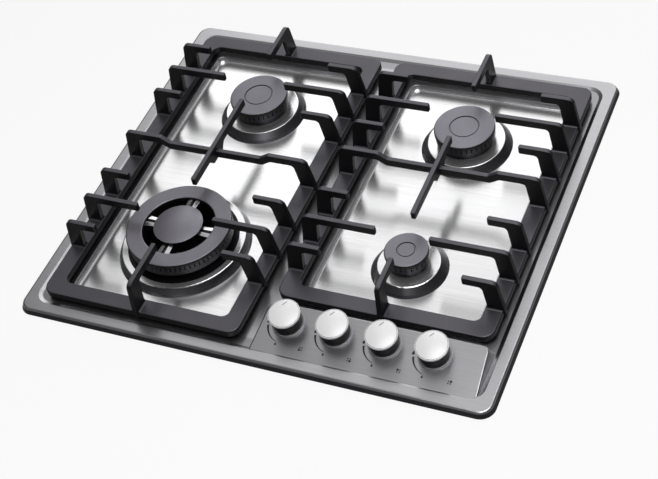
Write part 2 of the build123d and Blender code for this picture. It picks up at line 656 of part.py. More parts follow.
def make_cup_screws():
    """The screws that hold the cups down on their channels, from below."""
    seat = CUP_BOTTOM - SUPPORT_SHEET
    screw = rod(CUP_SCREW_RADIUS, seat, seat + CUP_SCREW_LENGTH - 2 * SPARK_FIT)
    screw += turned((0, seat - SCREW_HEAD_THICK), (SCREW_HEAD_RADIUS, seat - SCREW_HEAD_THICK, 1.0),
                    (SCREW_HEAD_RADIUS, seat), (0, seat))
    return Compound(children=[
        at(burner) * (Pos(shift, 0, 0) * screw)
        for burner in BURNERS for shift in (-CUP_SCREW_SPACING, CUP_SCREW_SPACING)])


# ---- Burners -------------------------------------------------------------------------------------
def make_cup(burner):
    """The burner body under the plate: neck, flange, floor and jet holder."""
    inner = burner.neck - CUP_WALL
    flange_top = BOSS_TOP - SHEET
    flange_low = flange_top - CUP_FLANGE_THICK
    cup = turned(
        (0, CUP_BOTTOM), (burner.neck, CUP_BOTTOM), (burner.neck, flange_low), (burner.flange, flange_low),
        (burner.flange, flange_top), (burner.neck, flange_top), (burner.neck, HEAD_SEAT), (inner, HEAD_SEAT),
        (inner, CUP_FLOOR_TOP), (0, CUP_FLOOR_TOP))
    if burner is FRONT_LEFT:
        cup += tube_ring(WOK_STEP_RADIUS, burner.neck - CUP_WALL / 2, flange_low, BOSS_TOP - SHEET / 2)
    cup += rod(HOLDER_RADIUS, HOLDER_BOTTOM, CUP_BOTTOM)
    cup -= rod(JET_THREAD_RADIUS + JET_FIT, PIPE_HEIGHT, CUP_FLOOR_TOP + 1)
    port = Rot(90, 0, 0) * Cylinder(PIPE_RADIUS + PIPE_FIT, PIPE_INSERT)
    cup -= Pos(0, -HOLDER_RADIUS + PIPE_INSERT / 2, PIPE_HEIGHT) * port
    way = Rot(90, 0, 0) * Cylinder(PIPE_RADIUS - PIPE_WALL, HOLDER_RADIUS)
    cup -= Pos(0, -HOLDER_RADIUS / 2, PIPE_HEIGHT) * way
    for shift in (-CUP_SCREW_SPACING, CUP_SCREW_SPACING):
        cup -= Pos(shift, 0, 0) * rod(CUP_SCREW_RADIUS + SCREW_FIT, CUP_BOTTOM - 1, CUP_BOTTOM + CUP_SCREW_LENGTH
                                      - SUPPORT_SHEET)
    cup = at(burner) * cup
    hole = rod(SPARK_RADIUS + SPARK_FIT, CUP_BOTTOM, HEAD_SEAT)
    return cup - Pos(burner.spark_place[0], burner.spark_place[1], 0) * hole


def port_cutter(radius, low, high, depth):
    """Slots all round a ring wall, as one tool."""
    count = int(2 * pi * radius / PORT_PITCH)
    slot = Pos(radius, 0, (low + high) / 2) * Box(depth, PORT_WIDTH, high - low)
    return Compound(children=[Rot(0, 0, 360 / count * i) * slot for i in range(count)])


def make_head(burner):
    """The flame spreader: ported ring, floor, spigot and mixing tube."""
    outer = burner.head
    inner = outer - HEAD_WALL
    spigot = burner.neck - CUP_WALL - SPIGOT_CLEARANCE
    floor_top = HEAD_SEAT + HEAD_FLOOR
    head = turned(
        (VENTURI_BORE, HEAD_SEAT - VENTURI_REACH), (VENTURI_RADIUS, HEAD_SEAT - VENTURI_REACH),
        (VENTURI_RADIUS, HEAD_SEAT), (spigot - SPIGOT_WALL, HEAD_SEAT),
        (spigot - SPIGOT_WALL, HEAD_SEAT - HEAD_SPIGOT), (spigot, HEAD_SEAT - HEAD_SPIGOT), (spigot, HEAD_SEAT),
        (outer - 1.0, HEAD_SEAT), (outer, HEAD_SEAT + 1.0), (outer, CAP_SEAT), (inner, CAP_SEAT),
        (inner, floor_top), (VENTURI_BORE, floor_top))
    head -= port_cutter(outer - HEAD_WALL / 2, CAP_SEAT - PORT_HEIGHT, CAP_SEAT + 1, 2 * HEAD_WALL)
    return at(burner) * head


def make_cap(burner, groove):
    """The enamelled cap: flat top with a shallow ring groove, and a locating lip below."""
    top = CAP_SEAT + CAP_THICK
    lip = burner.head - HEAD_WALL - CAP_LIP_CLEARANCE
    hollow = lip - CAP_LIP_WALL
    cap = turned(
        (0, CAP_SEAT), (hollow, CAP_SEAT), (hollow, CAP_SEAT - CAP_LIP_DEPTH), (lip, CAP_SEAT - CAP_LIP_DEPTH),
        (lip, CAP_SEAT), (burner.cap - 0.8, CAP_SEAT), (burner.cap, CAP_SEAT + 0.8),
        (burner.cap, top, CAP_EDGE_ROUND), (groove + GROOVE_WIDTH, top),
        (groove + GROOVE_WIDTH - GROOVE_SLOPE, top - GROOVE_DEPTH), (groove + GROOVE_SLOPE, top - GROOVE_DEPTH),
        (groove, top - GROOVE_DEPTH / 3), (0, top - GROOVE_DEPTH / 3))
    return at(burner) * cap


def make_wok_head():
    """The triple-ring spreader: outer ring channel, inner ring and the four bridges between them."""
    burner = FRONT_LEFT
    outer = burner.head
    inner_wall = WOK_CAP_BORE + 1.0
    spigot = burner.neck - CUP_WALL - SPIGOT_CLEARANCE
    floor_top = HEAD_SEAT + HEAD_FLOOR
    ring = turned(
        (inner_wall, HEAD_SEAT), (spigot - SPIGOT_WALL, HEAD_SEAT), (spigot - SPIGOT_WALL, HEAD_SEAT - HEAD_SPIGOT),
        (spigot, HEAD_SEAT - HEAD_SPIGOT), (spigot, HEAD_SEAT), (outer - 1.0, HEAD_SEAT), (outer, HEAD_SEAT + 1.0),
        (outer, WOK_CAP_SEAT), (outer - HEAD_WALL, WOK_CAP_SEAT), (outer - HEAD_WALL, floor_top),
        (inner_wall + HEAD_WALL, floor_top), (inner_wall + HEAD_WALL, WOK_CAP_SEAT), (inner_wall, WOK_CAP_SEAT))
    core_outer = INNER_CAP_RADIUS - 3.0
    core = turned(
        (VENTURI_BORE, HEAD_SEAT - VENTURI_REACH), (VENTURI_RADIUS, HEAD_SEAT - VENTURI_REACH),
        (VENTURI_RADIUS, HEAD_SEAT), (core_outer, HEAD_SEAT), (core_outer, INNER_CAP_SEAT),
        (core_outer - HEAD_WALL, INNER_CAP_SEAT), (core_outer - HEAD_WALL, floor_top), (VENTURI_BORE, floor_top))
    core -= port_cutter(core_outer - HEAD_WALL / 2, INNER_CAP_SEAT - PORT_HEIGHT, INNER_CAP_SEAT + 1, 2 * HEAD_WALL)
    ring -= port_cutter(outer - HEAD_WALL / 2, WOK_CAP_SEAT - PORT_HEIGHT, WOK_CAP_SEAT + 1, 2 * HEAD_WALL)
    ring -= port_cutter(inner_wall + HEAD_WALL / 2, WOK_CAP_SEAT - INNER_PORT_HEIGHT, WOK_CAP_SEAT + 1, 2 * HEAD_WALL)
    low = BRIDGE_TOP - BRIDGE_DEPTH
    bridge = block((core_outer - HEAD_WALL / 2, inner_wall + HEAD_WALL / 2), (-BRIDGE_WIDTH / 2, BRIDGE_WIDTH / 2),
                   (low, BRIDGE_TOP))
    dip = Rot(0, 90, 0) * Cylinder(BRIDGE_HOLLOW, 4 * BRIDGE_WIDTH)
    bridge -= Pos((core_outer + inner_wall) / 2, 0, BRIDGE_TOP + BRIDGE_HOLLOW / 3) * dip
    bridge -= tube_ring(outer, WOK_CAP_BORE - SPIGOT_CLEARANCE, WOK_CAP_SEAT, BRIDGE_TOP + 1)
    bridges = [Rot(0, 0, 360 / BRIDGE_COUNT * i) * bridge for i in range(BRIDGE_COUNT)]
    return at(burner) * ring.fuse(core, *bridges)


def make_wok_outer_cap():
    """The ring-shaped outer cap of the triple-ring burner."""
    top = WOK_CAP_SEAT + WOK_CAP_THICK
    outer = WOK_CAP_RADIUS
    lip_out = FRONT_LEFT.head - HEAD_WALL - CAP_LIP_CLEARANCE
    lip_in = WOK_CAP_BORE + 1.0 + HEAD_WALL + CAP_LIP_CLEARANCE
    ring = turned(
        (WOK_CAP_BORE, WOK_CAP_SEAT), (lip_in, WOK_CAP_SEAT), (lip_in, WOK_CAP_SEAT - CAP_LIP_DEPTH),
        (lip_out, WOK_CAP_SEAT - CAP_LIP_DEPTH), (lip_out, WOK_CAP_SEAT), (outer - 0.8, WOK_CAP_SEAT),
        (outer, WOK_CAP_SEAT + 0.8), (outer, top, CAP_EDGE_ROUND), (WOK_CAP_BORE, top, CAP_EDGE_ROUND))
    return at(FRONT_LEFT) * ring


def make_wok_inner_cap():
    """The domed inner cap of the triple-ring burner."""
    edge_top = INNER_CAP_SEAT + INNER_CAP_EDGE
    lip = INNER_CAP_RADIUS - 3.0 - HEAD_WALL - CAP_LIP_CLEARANCE
    low = INNER_CAP_SEAT - CAP_LIP_DEPTH
    base = turned(
        (0, INNER_CAP_SEAT), (lip - CAP_LIP_WALL, INNER_CAP_SEAT), (lip - CAP_LIP_WALL, low), (lip, low),
        (lip, INNER_CAP_SEAT), (INNER_CAP_RADIUS - 0.8, INNER_CAP_SEAT), (INNER_CAP_RADIUS, INNER_CAP_SEAT + 0.8),
        (INNER_CAP_RADIUS, edge_top, 1.2), (0, edge_top))
    ball = (INNER_CAP_RADIUS - 1.2) ** 2 / (2 * INNER_CAP_DOME) + INNER_CAP_DOME / 2
    dome = Pos(0, 0, edge_top + INNER_CAP_DOME - ball) * Sphere(ball)
    dome &= rod(INNER_CAP_RADIUS, edge_top - INNER_CAP_EDGE / 2, edge_top + 2 * INNER_CAP_DOME)
    return at(FRONT_LEFT) * (base + dome)


def make_jets():
    """The brass jets in the cups' floors."""
    jet = hexagon(JET_HEX, CUP_FLOOR_TOP, CUP_FLOOR_TOP + JET_HEX_LENGTH)
    jet += rod(JET_THREAD_RADIUS, CUP_FLOOR_TOP - JET_THREAD_LENGTH, CUP_FLOOR_TOP)
    jet -= rod(JET_BORE, CUP_FLOOR_TOP - JET_THREAD_LENGTH - 1, CUP_FLOOR_TOP + JET_HEX_LENGTH + 1)
    return Compound(children=[at(burner) * jet for burner in BURNERS])


def make_spark_plugs():
    """The ceramic spark plugs beside the burner heads, with their steel tips."""
    collar_top = BOSS_TOP - SHEET - CUP_FLANGE_THICK
    plug = turned(
        (0, SPARK_BOTTOM), (SPARK_RADIUS, SPARK_BOTTOM), (SPARK_RADIUS, collar_top - SPARK_COLLAR_LENGTH),
        (SPARK_COLLAR, collar_top - SPARK_COLLAR_LENGTH), (SPARK_COLLAR, collar_top), (SPARK_RADIUS, collar_top),
        (SPARK_RADIUS, SPARK_TOP, 0.8), (SPARK_TIP_RADIUS, SPARK_TOP), (SPARK_TIP_RADIUS, SPARK_TIP_TOP, 0.4),
        (0, SPARK_TIP_TOP))
    return Compound(children=[Pos(b.spark_place[0], b.spark_place[1], 0) * plug for b in BURNERS])


# ---- Pan supports --------------------------------------------------------------------------------
def blade(*corners):
    """One cast blade in the XZ plane, centred on Y = 0, with its long edges rounded."""
    solid = extrude(Plane.XZ * outline(*corners), BLADE_THICK / 2, both=True)
    rims = [e for e in solid.edges() if abs(abs(e.center().Y) - BLADE_THICK / 2) < 0.01]
    return fillet(rims, BLADE_EDGE_ROUND)


def tip_cutter(reach):
    """The two upright wedges that chamfer a bar's end at X = reach."""
    half = BLADE_THICK / 2
    low = PAN_HEIGHT - BLADE_DEPTH - 1
    side = outline((reach - TIP_CHAMFER, half + 1), (reach - TIP_CHAMFER, half), (reach, half - TIP_CHAMFER),
                   (reach + 1, half - TIP_CHAMFER), (reach + 1, half + 1))
    wedge = extrude(Pos(0, 0, low) * side, BLADE_DEPTH + 2)
    return Compound(children=[wedge, mirror(wedge, Plane.XZ)])


def flare():
    """The concave swelling where a leg on the frame's outer edge (X = 0) grows out of the frame."""
    narrow = BLADE_THICK / 2 - 0.15
    wide = narrow + LEG_FLARE
    low = FRAME_TOP - 0.15
    high = low + LEG_FLARE
    swing = LEG_FLARE / 2 ** 0.5
    right = ThreePointArc((wide, low), (wide - swing, high - swing), (narrow, high))
    left = ThreePointArc((-narrow, high), (-wide + swing, high - swing), (-wide, low))
    section = make_face([Line((-wide, low), (wide, low)), right, Line((narrow, high), (-narrow, high)), left])
    lean = (FRAME_TOP - FRAME_BOTTOM) / (PAN_HEIGHT - FRAME_BOTTOM) * LEG_LEAN
    return Pos(lean, 0, 0) * extrude(Plane.YZ * section, FRAME_BAND - lean - FRAME_EDGE_ROUND)


def finger(reach):
    """A leg on the frame's outer edge (X = 0) with a finger that reaches inwards to X = reach."""
    foot = FRAME_BOTTOM + 1.5
    under = PAN_HEIGHT - BLADE_DEPTH
    solid = blade(
        (-LEG_STAND_OUT, foot), (LEG_LEAN - LEG_STAND_OUT, PAN_HEIGHT, LEG_OUTER_ROUND),
        (reach, PAN_HEIGHT, TIP_ROUND), (reach, under, TIP_ROUND),
        (LEG_WIDTH_TOP - LEG_STAND_OUT, under, LEG_INNER_ROUND), (FRAME_BAND - LEG_STAND_OUT, foot))
    return (solid - tip_cutter(reach)).fuse(flare())


def crossbar():
    """The full-width bar that dips in its middle, about X = 0."""
    foot = FRAME_BOTTOM + 1.5
    under = PAN_HEIGHT - BLADE_DEPTH
    edge = GRATE_HALF + LEG_STAND_OUT
    half = (
        (CROSSBAR_LOW, PAN_HEIGHT - CROSSBAR_DROP, BEND_ROUND), (CROSSBAR_HIGH, PAN_HEIGHT, BEND_ROUND),
        (edge - LEG_LEAN, PAN_HEIGHT, LEG_OUTER_ROUND), (edge, foot), (edge - FRAME_BAND, foot),
        (edge - LEG_WIDTH_TOP, under, LEG_INNER_ROUND), (CROSSBAR_HIGH + 2.0, under, BEND_ROUND),
        (CROSSBAR_LOW + 2.0, under - CROSSBAR_DROP, BEND_ROUND))
    mirrored = [(-c[0],) + c[1:] for c in reversed(half)]
    flares = [Pos(-GRATE_HALF, 0, 0) * flare(), Pos(GRATE_HALF, 0, 0) * (Rot(0, 0, 180) * flare())]
    return blade(*half, *mirrored).fuse(*flares)


def mid_bar(front, rear, crossing):
    """The bar along the middle, with a gusset where it crosses the crossbar. X here is the object's Y."""
    under = PAN_HEIGHT - BLADE_DEPTH
    deep = PAN_HEIGHT - GUSSET_DEPTH
    bar = blade(
        (front, PAN_HEIGHT, TIP_ROUND), (rear, PAN_HEIGHT, TIP_ROUND), (rear, under, TIP_ROUND),
        (crossing + GUSSET_HALF + GUSSET_RUN, under, BEND_ROUND), (crossing + GUSSET_HALF, deep, BEND_ROUND),
        (crossing - GUSSET_HALF, deep, BEND_ROUND), (crossing - GUSSET_HALF - GUSSET_RUN, under, BEND_ROUND),
        (front, under, TIP_ROUND))
    return bar - tip_cutter(rear) - mirror(tip_cutter(-front), Plane.YZ)


def foot_places(middle, front):
    """Plan places of the rubber feet of one pan support."""
    inset = FRAME_BAND / 2
    rows = (front + inset, (front + GRATE_REAR) / 2, GRATE_REAR - inset)
    return [(middle + side * (GRATE_HALF - inset), y) for side in (-1, 1) for y in rows]


def make_frame(middle, front):
    """The flat frame of one pan support."""
    left = middle - GRATE_HALF
    right = middle + GRATE_HALF
    outer = outline(
        (left, front, FRAME_FRONT_CORNER), (right, front, FRAME_FRONT_CORNER),
        (right, GRATE_REAR, FRAME_REAR_CORNER), (left, GRATE_REAR, FRAME_REAR_CORNER))
    band = FRAME_BAND
    window = outline(
        (left + band, front + band, FRAME_INNER_CORNER), (right - band, front + band, FRAME_INNER_CORNER),
        (right - band, GRATE_REAR - band, FRAME_INNER_CORNER), (left + band, GRATE_REAR - band, FRAME_INNER_CORNER))
    frame = extrude(Pos(0, 0, FRAME_BOTTOM) * (outer - window), FRAME_THICK)
    frame = fillet(frame.edges().group_by(Axis.Z)[-1], FRAME_EDGE_ROUND)
    return frame


def make_grate(middle, front, rows, crossing, bar, end_reaches):
    """One cast pan support. Rows are (Y, left reach, right reach), the fingers' lengths from the frame's sides."""
    blades = []
    for y, left_reach, right_reach in rows:
        blades.append(Pos(middle - GRATE_HALF, y, 0) * finger(left_reach))
        blades.append(Pos(middle + GRATE_HALF, y, 0) * (Rot(0, 0, 180) * finger(right_reach)))
    blades.append(Pos(middle, crossing, 0) * crossbar())
    turn = Rot(0, 0, 90)
    blades.append(Pos(middle, 0, 0) * (turn * mid_bar(bar[0], bar[1], crossing)))
    blades.append(Pos(middle, GRATE_REAR, 0) * (Rot(0, 0, -90) * finger(end_reaches[0])))
    blades.append(Pos(middle, front, 0) * (turn * finger(end_reaches[1])))
    grate = make_frame(middle, front).fuse(*blades)
    for x, y in foot_places(middle, front):
        grate -= Pos(x, y, 0) * rod(FOOT_PIN_RADIUS + FOOT_PIN_CLEARANCE, FRAME_BOTTOM - 1,
                                    FRAME_BOTTOM + FOOT_PIN_LENGTH + 0.5)
    return grate


def finger_rows(front_burner_y, front_reaches):
    """Three rows of fingers about the rear burner and three about the front one, as (Y, left, right reach)."""
    short = (SHORT_REACH, SHORT_REACH)
    return [
        (REAR_BURNER_Y + REAR_ROW_PITCH, *short), (REAR_BURNER_Y, LONG_REACH, LONG_REACH),
        (REAR_BURNER_Y - REAR_ROW_PITCH, *short), (front_burner_y + FRONT_ROW_PITCH, *short),
        (front_burner_y, *front_reaches), (front_burner_y - FRONT_ROW_PITCH, *short)]


def make_left_grate():
    """The left pan support, over the triple-ring and rear left burners."""
    rows = finger_rows(WOK_Y, WOK_REACHES)
    return make_grate(-GRATE_X, LEFT_GRATE_FRONT, rows, LEFT_CROSSBAR_Y, LEFT_MID_BAR, LEFT_END_REACHES)


def make_right_grate():
    """The right pan support, shorter, behind the knob panel."""
    rows = finger_rows(SMALL_Y, SMALL_REACHES)
    return make_grate(GRATE_X, RIGHT_GRATE_FRONT, rows, RIGHT_CROSSBAR_Y, RIGHT_MID_BAR, RIGHT_END_REACHES)


def make_feet(middle, front):
    """The rubber feet of one pan support, each with a pin in the frame."""
    foot = turned(
        (0, LEDGE), (FOOT_RADIUS, LEDGE, 0.8), (FOOT_RADIUS, FRAME_BOTTOM), (FOOT_PIN_RADIUS, FRAME_BOTTOM),
        (FOOT_PIN_RADIUS, FRAME_BOTTOM + FOOT_PIN_LENGTH), (0, FRAME_BOTTOM + FOOT_PIN_LENGTH))
    return Compound(children=[Pos(x, y, 0) * foot for x, y in foot_places(middle, front)])


# ---- Knobs and taps, each about its own axis with the panel's surface at height 0 -----------------
def stem_section(clearance):
    """The D-shaped section of a stem or of the hole for it."""
    radius = STEM_RADIUS + clearance
    flat = STEM_FLAT + clearance
    cut = Pos(0, flat + radius, 0) * Rectangle(4 * radius, 2 * radius)
    return Circle(radius) - cut


def make_stem():
    """The stem that turns the valve plug and slides in it."""
    return extrude(Pos(0, 0, STEM_BOTTOM) * stem_section(0), STEM_TOP - STEM_BOTTOM)


def make_knob_body():
    """The black moulded body of a knob, with a hub for the stem."""
    low = KNOB_BODY_BOTTOM
    high = KNOB_BODY_TOP
    body = turned(
        (0, high), (KNOB_BODY_RADIUS - KNOB_BODY_TAPER, high), (KNOB_BODY_RADIUS, low, 0.6),
        (KNOB_BODY_RADIUS - KNOB_WALL, low), (KNOB_BODY_RADIUS - KNOB_WALL - KNOB_BODY_TAPER, high - KNOB_WALL),
        (KNOB_HUB_RADIUS, high - KNOB_WALL), (KNOB_HUB_RADIUS, low + 1.0), (0, low + 1.0))
    socket = extrude(Pos(0, 0, low) * stem_section(STEM_FIT), STEM_TOP + STEM_FIT - low)
    return body - socket


def make_knob_cap():
    """The domed metal cap of a knob, with a pointer groove towards the back."""
    low = KNOB_BODY_TOP
    edge = KNOB_CAP_EDGE
    base = turned((0, low), (KNOB_CAP_RADIUS, low, 0.4), (KNOB_CAP_RADIUS, edge, KNOB_EDGE_ROUND), (0, edge))
    ball = (KNOB_CAP_RADIUS - KNOB_EDGE_ROUND) ** 2 / (2 * KNOB_DOME) + KNOB_DOME / 2
    dome = Pos(0, 0, edge + KNOB_DOME - ball) * Sphere(ball)
    dome &= rod(KNOB_CAP_RADIUS, edge - KNOB_CAP_BAND / 2, edge + 2 * KNOB_DOME)
    cap = base + dome
    depth_low = edge + KNOB_DOME / 2 - POINTER_DEPTH
    groove = block((-POINTER_WIDTH / 2, POINTER_WIDTH / 2), (POINTER_START, POINTER_START + POINTER_LENGTH),
                   (depth_low, edge + 2 * KNOB_DOME))
    return cap - groove


def make_bezel():
    """The grey ring on the panel that a knob dips into."""
    bezel = turned(
        (STEM_RADIUS + STEM_HOLE_CLEARANCE, 0), (BEZEL_RADIUS, 0), (BEZEL_RADIUS, BEZEL_HEIGHT, BEZEL_ROUND),
        (BEZEL_BORE, BEZEL_HEIGHT), (BEZEL_BORE, BEZEL_FLOOR), (STEM_RADIUS + STEM_HOLE_CLEARANCE, BEZEL_FLOOR))
    return bezel


def make_tap(x):
    """A tap body with its tapered bore, outlet port and the inlet spigot into the rail."""
    half = TAP_WIDTH / 2
    body = block((-half, half), (-half, half), (TAP_BOTTOM, TAP_TOP))
    upright = [e for e in body.edges().filter_by(Axis.Z)]
    body = fillet(upright, 3.0)
    body += rod(TAP_NECK_RADIUS, TAP_TOP, TAP_NECK_TOP)
    body += rod(PIPE_RADIUS + 3.0, -RAIL_DEPTH + RAIL_RADIUS + 0.1, TAP_BOTTOM)
    body += rod(PIPE_RADIUS, -RAIL_DEPTH + RAIL_RADIUS - RAIL_WALL - 0.5, TAP_BOTTOM)
    seat = turned(
        (0, PLUG_BOTTOM - PLUG_FIT), (PLUG_BOTTOM_RADIUS + PLUG_FIT, PLUG_BOTTOM - PLUG_FIT),
        (PLUG_TOP_RADIUS + PLUG_FIT, PLUG_TOP + PLUG_FIT), (0, PLUG_TOP + PLUG_FIT))
    body -= seat
    body -= rod(STEM_RADIUS + 2 * STEM_FIT, PLUG_TOP - 1, TAP_NECK_TOP + 1)
    body -= rod(PIPE_RADIUS - 1.5, -RAIL_DEPTH, PLUG_BOTTOM)
    body = knob_plane(x) * body
    outlet_y = KNOB_Y + PIPE_DEPTH * sin(radians(PANEL_TILT))
    port_end = outlet_y + half + TAP_PORT_REACH
    boss_length = port_end - outlet_y - PLUG_TOP_RADIUS - 1.0
    boss_middle = port_end - boss_length / 2
    level = Rot(90, 0, 0)
    body += Pos(x, boss_middle, PIPE_HEIGHT) * (level * Cylinder(TAP_PORT_RADIUS, boss_length))
    body -= Pos(x, port_end - PIPE_INSERT / 2, PIPE_HEIGHT) * (level * Cylinder(PIPE_RADIUS + PIPE_FIT, PIPE_INSERT))
    body -= Pos(x, (port_end + outlet_y) / 2, PIPE_HEIGHT) * (
        level * Cylinder(PIPE_RADIUS - PIPE_WALL, port_end - outlet_y))
    return body


def make_plug():
    """The tapered valve plug that turns in a tap, with a socket for the stem."""
    plug = turned(
        (0, PLUG_BOTTOM), (PLUG_BOTTOM_RADIUS, PLUG_BOTTOM), (PLUG_TOP_RADIUS, PLUG_TOP), (0, PLUG_TOP))
    socket = extrude(Pos(0, 0, STEM_BOTTOM - SPRING_LENGTH) * stem_section(STEM_FIT), SPRING_LENGTH * 3)
    passage = Rot(90, 0, 0) * Cylinder(PIPE_RADIUS - 2 * PIPE_WALL, 3 * PLUG_TOP_RADIUS)
    plug -= socket
    return plug - Pos(0, 0, -PIPE_DEPTH + 1.0) * passage


def make_spring():
    """The return spring under a stem, between the socket's floor and the stem's end."""
    low = STEM_BOTTOM - SPRING_LENGTH + SPRING_WIRE + 0.05
    height = SPRING_LENGTH - 2 * SPRING_WIRE - 0.1
    path = Pos(0, 0, low) * Helix(height / SPRING_TURNS, height, SPRING_RADIUS - SPRING_WIRE)
    section = Plane(origin=path @ 0, z_dir=path % 0) * Circle(SPRING_WIRE)
    return sweep(section, path=path)


def make_switch():
    """The spark switch round a stem, on top of the tap."""
    width, depth, height = SWITCH_SIZE
    switch = block((-width / 2, width / 2), (-depth / 2 - 6.0, depth / 2), (TAP_TOP + 0.05, TAP_TOP + height))
    return switch - rod(TAP_NECK_RADIUS + STEM_FIT, TAP_TOP - 1, 0)


# ---- Gas rail and pipes --------------------------------------------------------------------------
def make_rail():
    """The gas rail: a tube under the taps that turns back to the inlet."""
    end = BOX_DEPTH / 2 - BOX_SHEET - INLET_HEX_LENGTH
    path = FilletPolyline((RAIL_LEFT, RAIL_Y, RAIL_HEIGHT), (RAIL_RIGHT, RAIL_Y, RAIL_HEIGHT),
                          (RAIL_RIGHT, end, RAIL_HEIGHT), radius=RAIL_BEND)
    section = Plane(origin=path @ 0, z_dir=path % 0)
    rail = sweep(section * Circle(RAIL_RADIUS), path=path)
    inner = FilletPolyline((RAIL_LEFT + RAIL_WALL, RAIL_Y, RAIL_HEIGHT), (RAIL_RIGHT, RAIL_Y, RAIL_HEIGHT),
                           (RAIL_RIGHT, end, RAIL_HEIGHT), radius=RAIL_BEND)
    bore = Plane(origin=inner @ 0, z_dir=inner % 0)
    rail -= sweep(bore * Circle(RAIL_RADIUS - RAIL_WALL), path=inner)
    for x in KNOB_XS:
        rail -= knob_plane(x) * rod(PIPE_RADIUS + PIPE_FIT, -RAIL_DEPTH, -RAIL_DEPTH + 2 * RAIL_RADIUS)
    return rail


def make_inlet():
    """The threaded inlet nipple in the box's back wall, on the end of the rail."""
    wall = BOX_DEPTH / 2
    back = wall - BOX_SHEET
    start = back - INLET_HEX_LENGTH
    level = Rot(-90, 0, 0)
    relief = wall + THREAD_RELIEF
    thread = chamfer(rod(THREAD_RADIUS, relief, wall + THREAD_LENGTH).edges().group_by(Axis.Z)[-1], THREAD_RELIEF)
    nipple = hexagon(INLET_HEX, start, back) + rod(THREAD_RADIUS - THREAD_RELIEF / 2, back, relief) + thread
    nipple -= rod(INLET_BORE, start - 1, wall + THREAD_LENGTH + 1)
    return Pos(RAIL_RIGHT, 0, RAIL_HEIGHT) * (level * nipple)


def make_saddles():
    """The two saddles that carry the rail on the box's floor."""
    width, depth = RAIL_SADDLE
    saddles = []
    for i in range(SADDLE_COUNT):
        x = KNOB_FIRST_X + KNOB_PITCH * (0.5 + 2 * i)
        saddle = block((x - width / 2, x + width / 2), (RAIL_Y - depth / 2, RAIL_Y + depth / 2),
                       (BOX_FLOOR_TOP, RAIL_HEIGHT - 1.0))
        tube = Rot(0, 90, 0) * Cylinder(RAIL_RADIUS, 3 * width)
        saddles.append(saddle - Pos(x, RAIL_Y, RAIL_HEIGHT) * tube)
    return Compound(children=saddles)


def pipe_along(*points):
    """A gas pipe along a level route."""
    route = [(x, y, PIPE_HEIGHT) for x, y in points]
    path = FilletPolyline(*route, radius=PIPE_BEND)
    plane = Plane(origin=path @ 0, z_dir=path % 0)
    return sweep(plane * Circle(PIPE_RADIUS), path=path) - sweep(plane * Circle(PIPE_RADIUS - PIPE_WALL), path=path)


def pipe_end(burner):
    """Where a pipe ends in the burner's jet holder."""
    return burner.place[1] - HOLDER_RADIUS + PIPE_INSERT


def make_pipes():
    """The four gas pipes, by burner name."""
    start = PIPE_START_Y
    beside = BURNER_X - HOLDER_RADIUS - 2 * PIPE_RADIUS
    jog = REAR_BURNER_Y - HOLDER_RADIUS - 4 * PIPE_RADIUS
    clear = start + 3 * PIPE_BEND
    first = start + 2 * PIPE_BEND
    return {
        "front_left": pipe_along((KNOB_XS[0], start), (KNOB_XS[0], first), (-BURNER_X, first),
                                 (-BURNER_X, pipe_end(FRONT_LEFT))),
        "rear_left": pipe_along((KNOB_XS[1], start), (KNOB_XS[1], clear), (-beside, clear), (-beside, jog - PIPE_BEND),
                                (-BURNER_X, jog), (-BURNER_X, pipe_end(REAR_LEFT))),
        "front_right": pipe_along((KNOB_XS[2], start), (KNOB_XS[2], start + PIPE_BEND),
                                  (BURNER_X, first + PIPE_BEND), (BURNER_X, pipe_end(FRONT_RIGHT))),
        "rear_right": pipe_along((KNOB_XS[3], start), (KNOB_XS[3], start + PIPE_BEND),
                                 (2 * BURNER_X - beside, clear + PIPE_BEND), (2 * BURNER_X - beside, jog - PIPE_BEND),
                                 (BURNER_X, jog), (BURNER_X, pipe_end(REAR_RIGHT))),
    }


# ---- Ignition ------------------------------------------------------------------------------------
def make_generator():
    """The spark generator on the box's floor, with a terminal for each lead."""
    width, depth, height = GENERATOR_SIZE
    x, y = GENERATOR_PLACE
    body = block((x - width / 2, x + width / 2), (y - depth / 2, y + depth / 2), (BOX_FLOOR_TOP, BOX_FLOOR_TOP + height))
    body = fillet(body.edges().filter_by(Axis.Z), 3.0)
    for tx, ty in terminal_places():
        body += Pos(tx, ty, 0) * rod(2.2, BOX_FLOOR_TOP + height, BOX_FLOOR_TOP + height + 4.0)
    return body


def terminal_places():
    """Plan places of the generator's lead terminals: four sparks and the switches."""
    x, y = GENERATOR_PLACE
    return [(x - 27.0, y + 12.0), (x - 27.0, y - 3.0), (x + 27.0, y + 3.0), (x + 27.0, y - 12.0), (x, y - 14.0)]


def lead_along(points, start, end):
    """One lead: up from its terminal, level along its route and up to its end."""
    route = [(points[0][0], points[0][1], start)] + [(x, y, LEAD_HEIGHT) for x, y in points]
    route.append((points[-1][0], points[-1][1], end))
    path = FilletPolyline(*route, radius=LEAD_BEND)
    return sweep(Plane(origin=path @ 0, z_dir=path % 0) * Circle(LEAD_RADIUS), path=path)


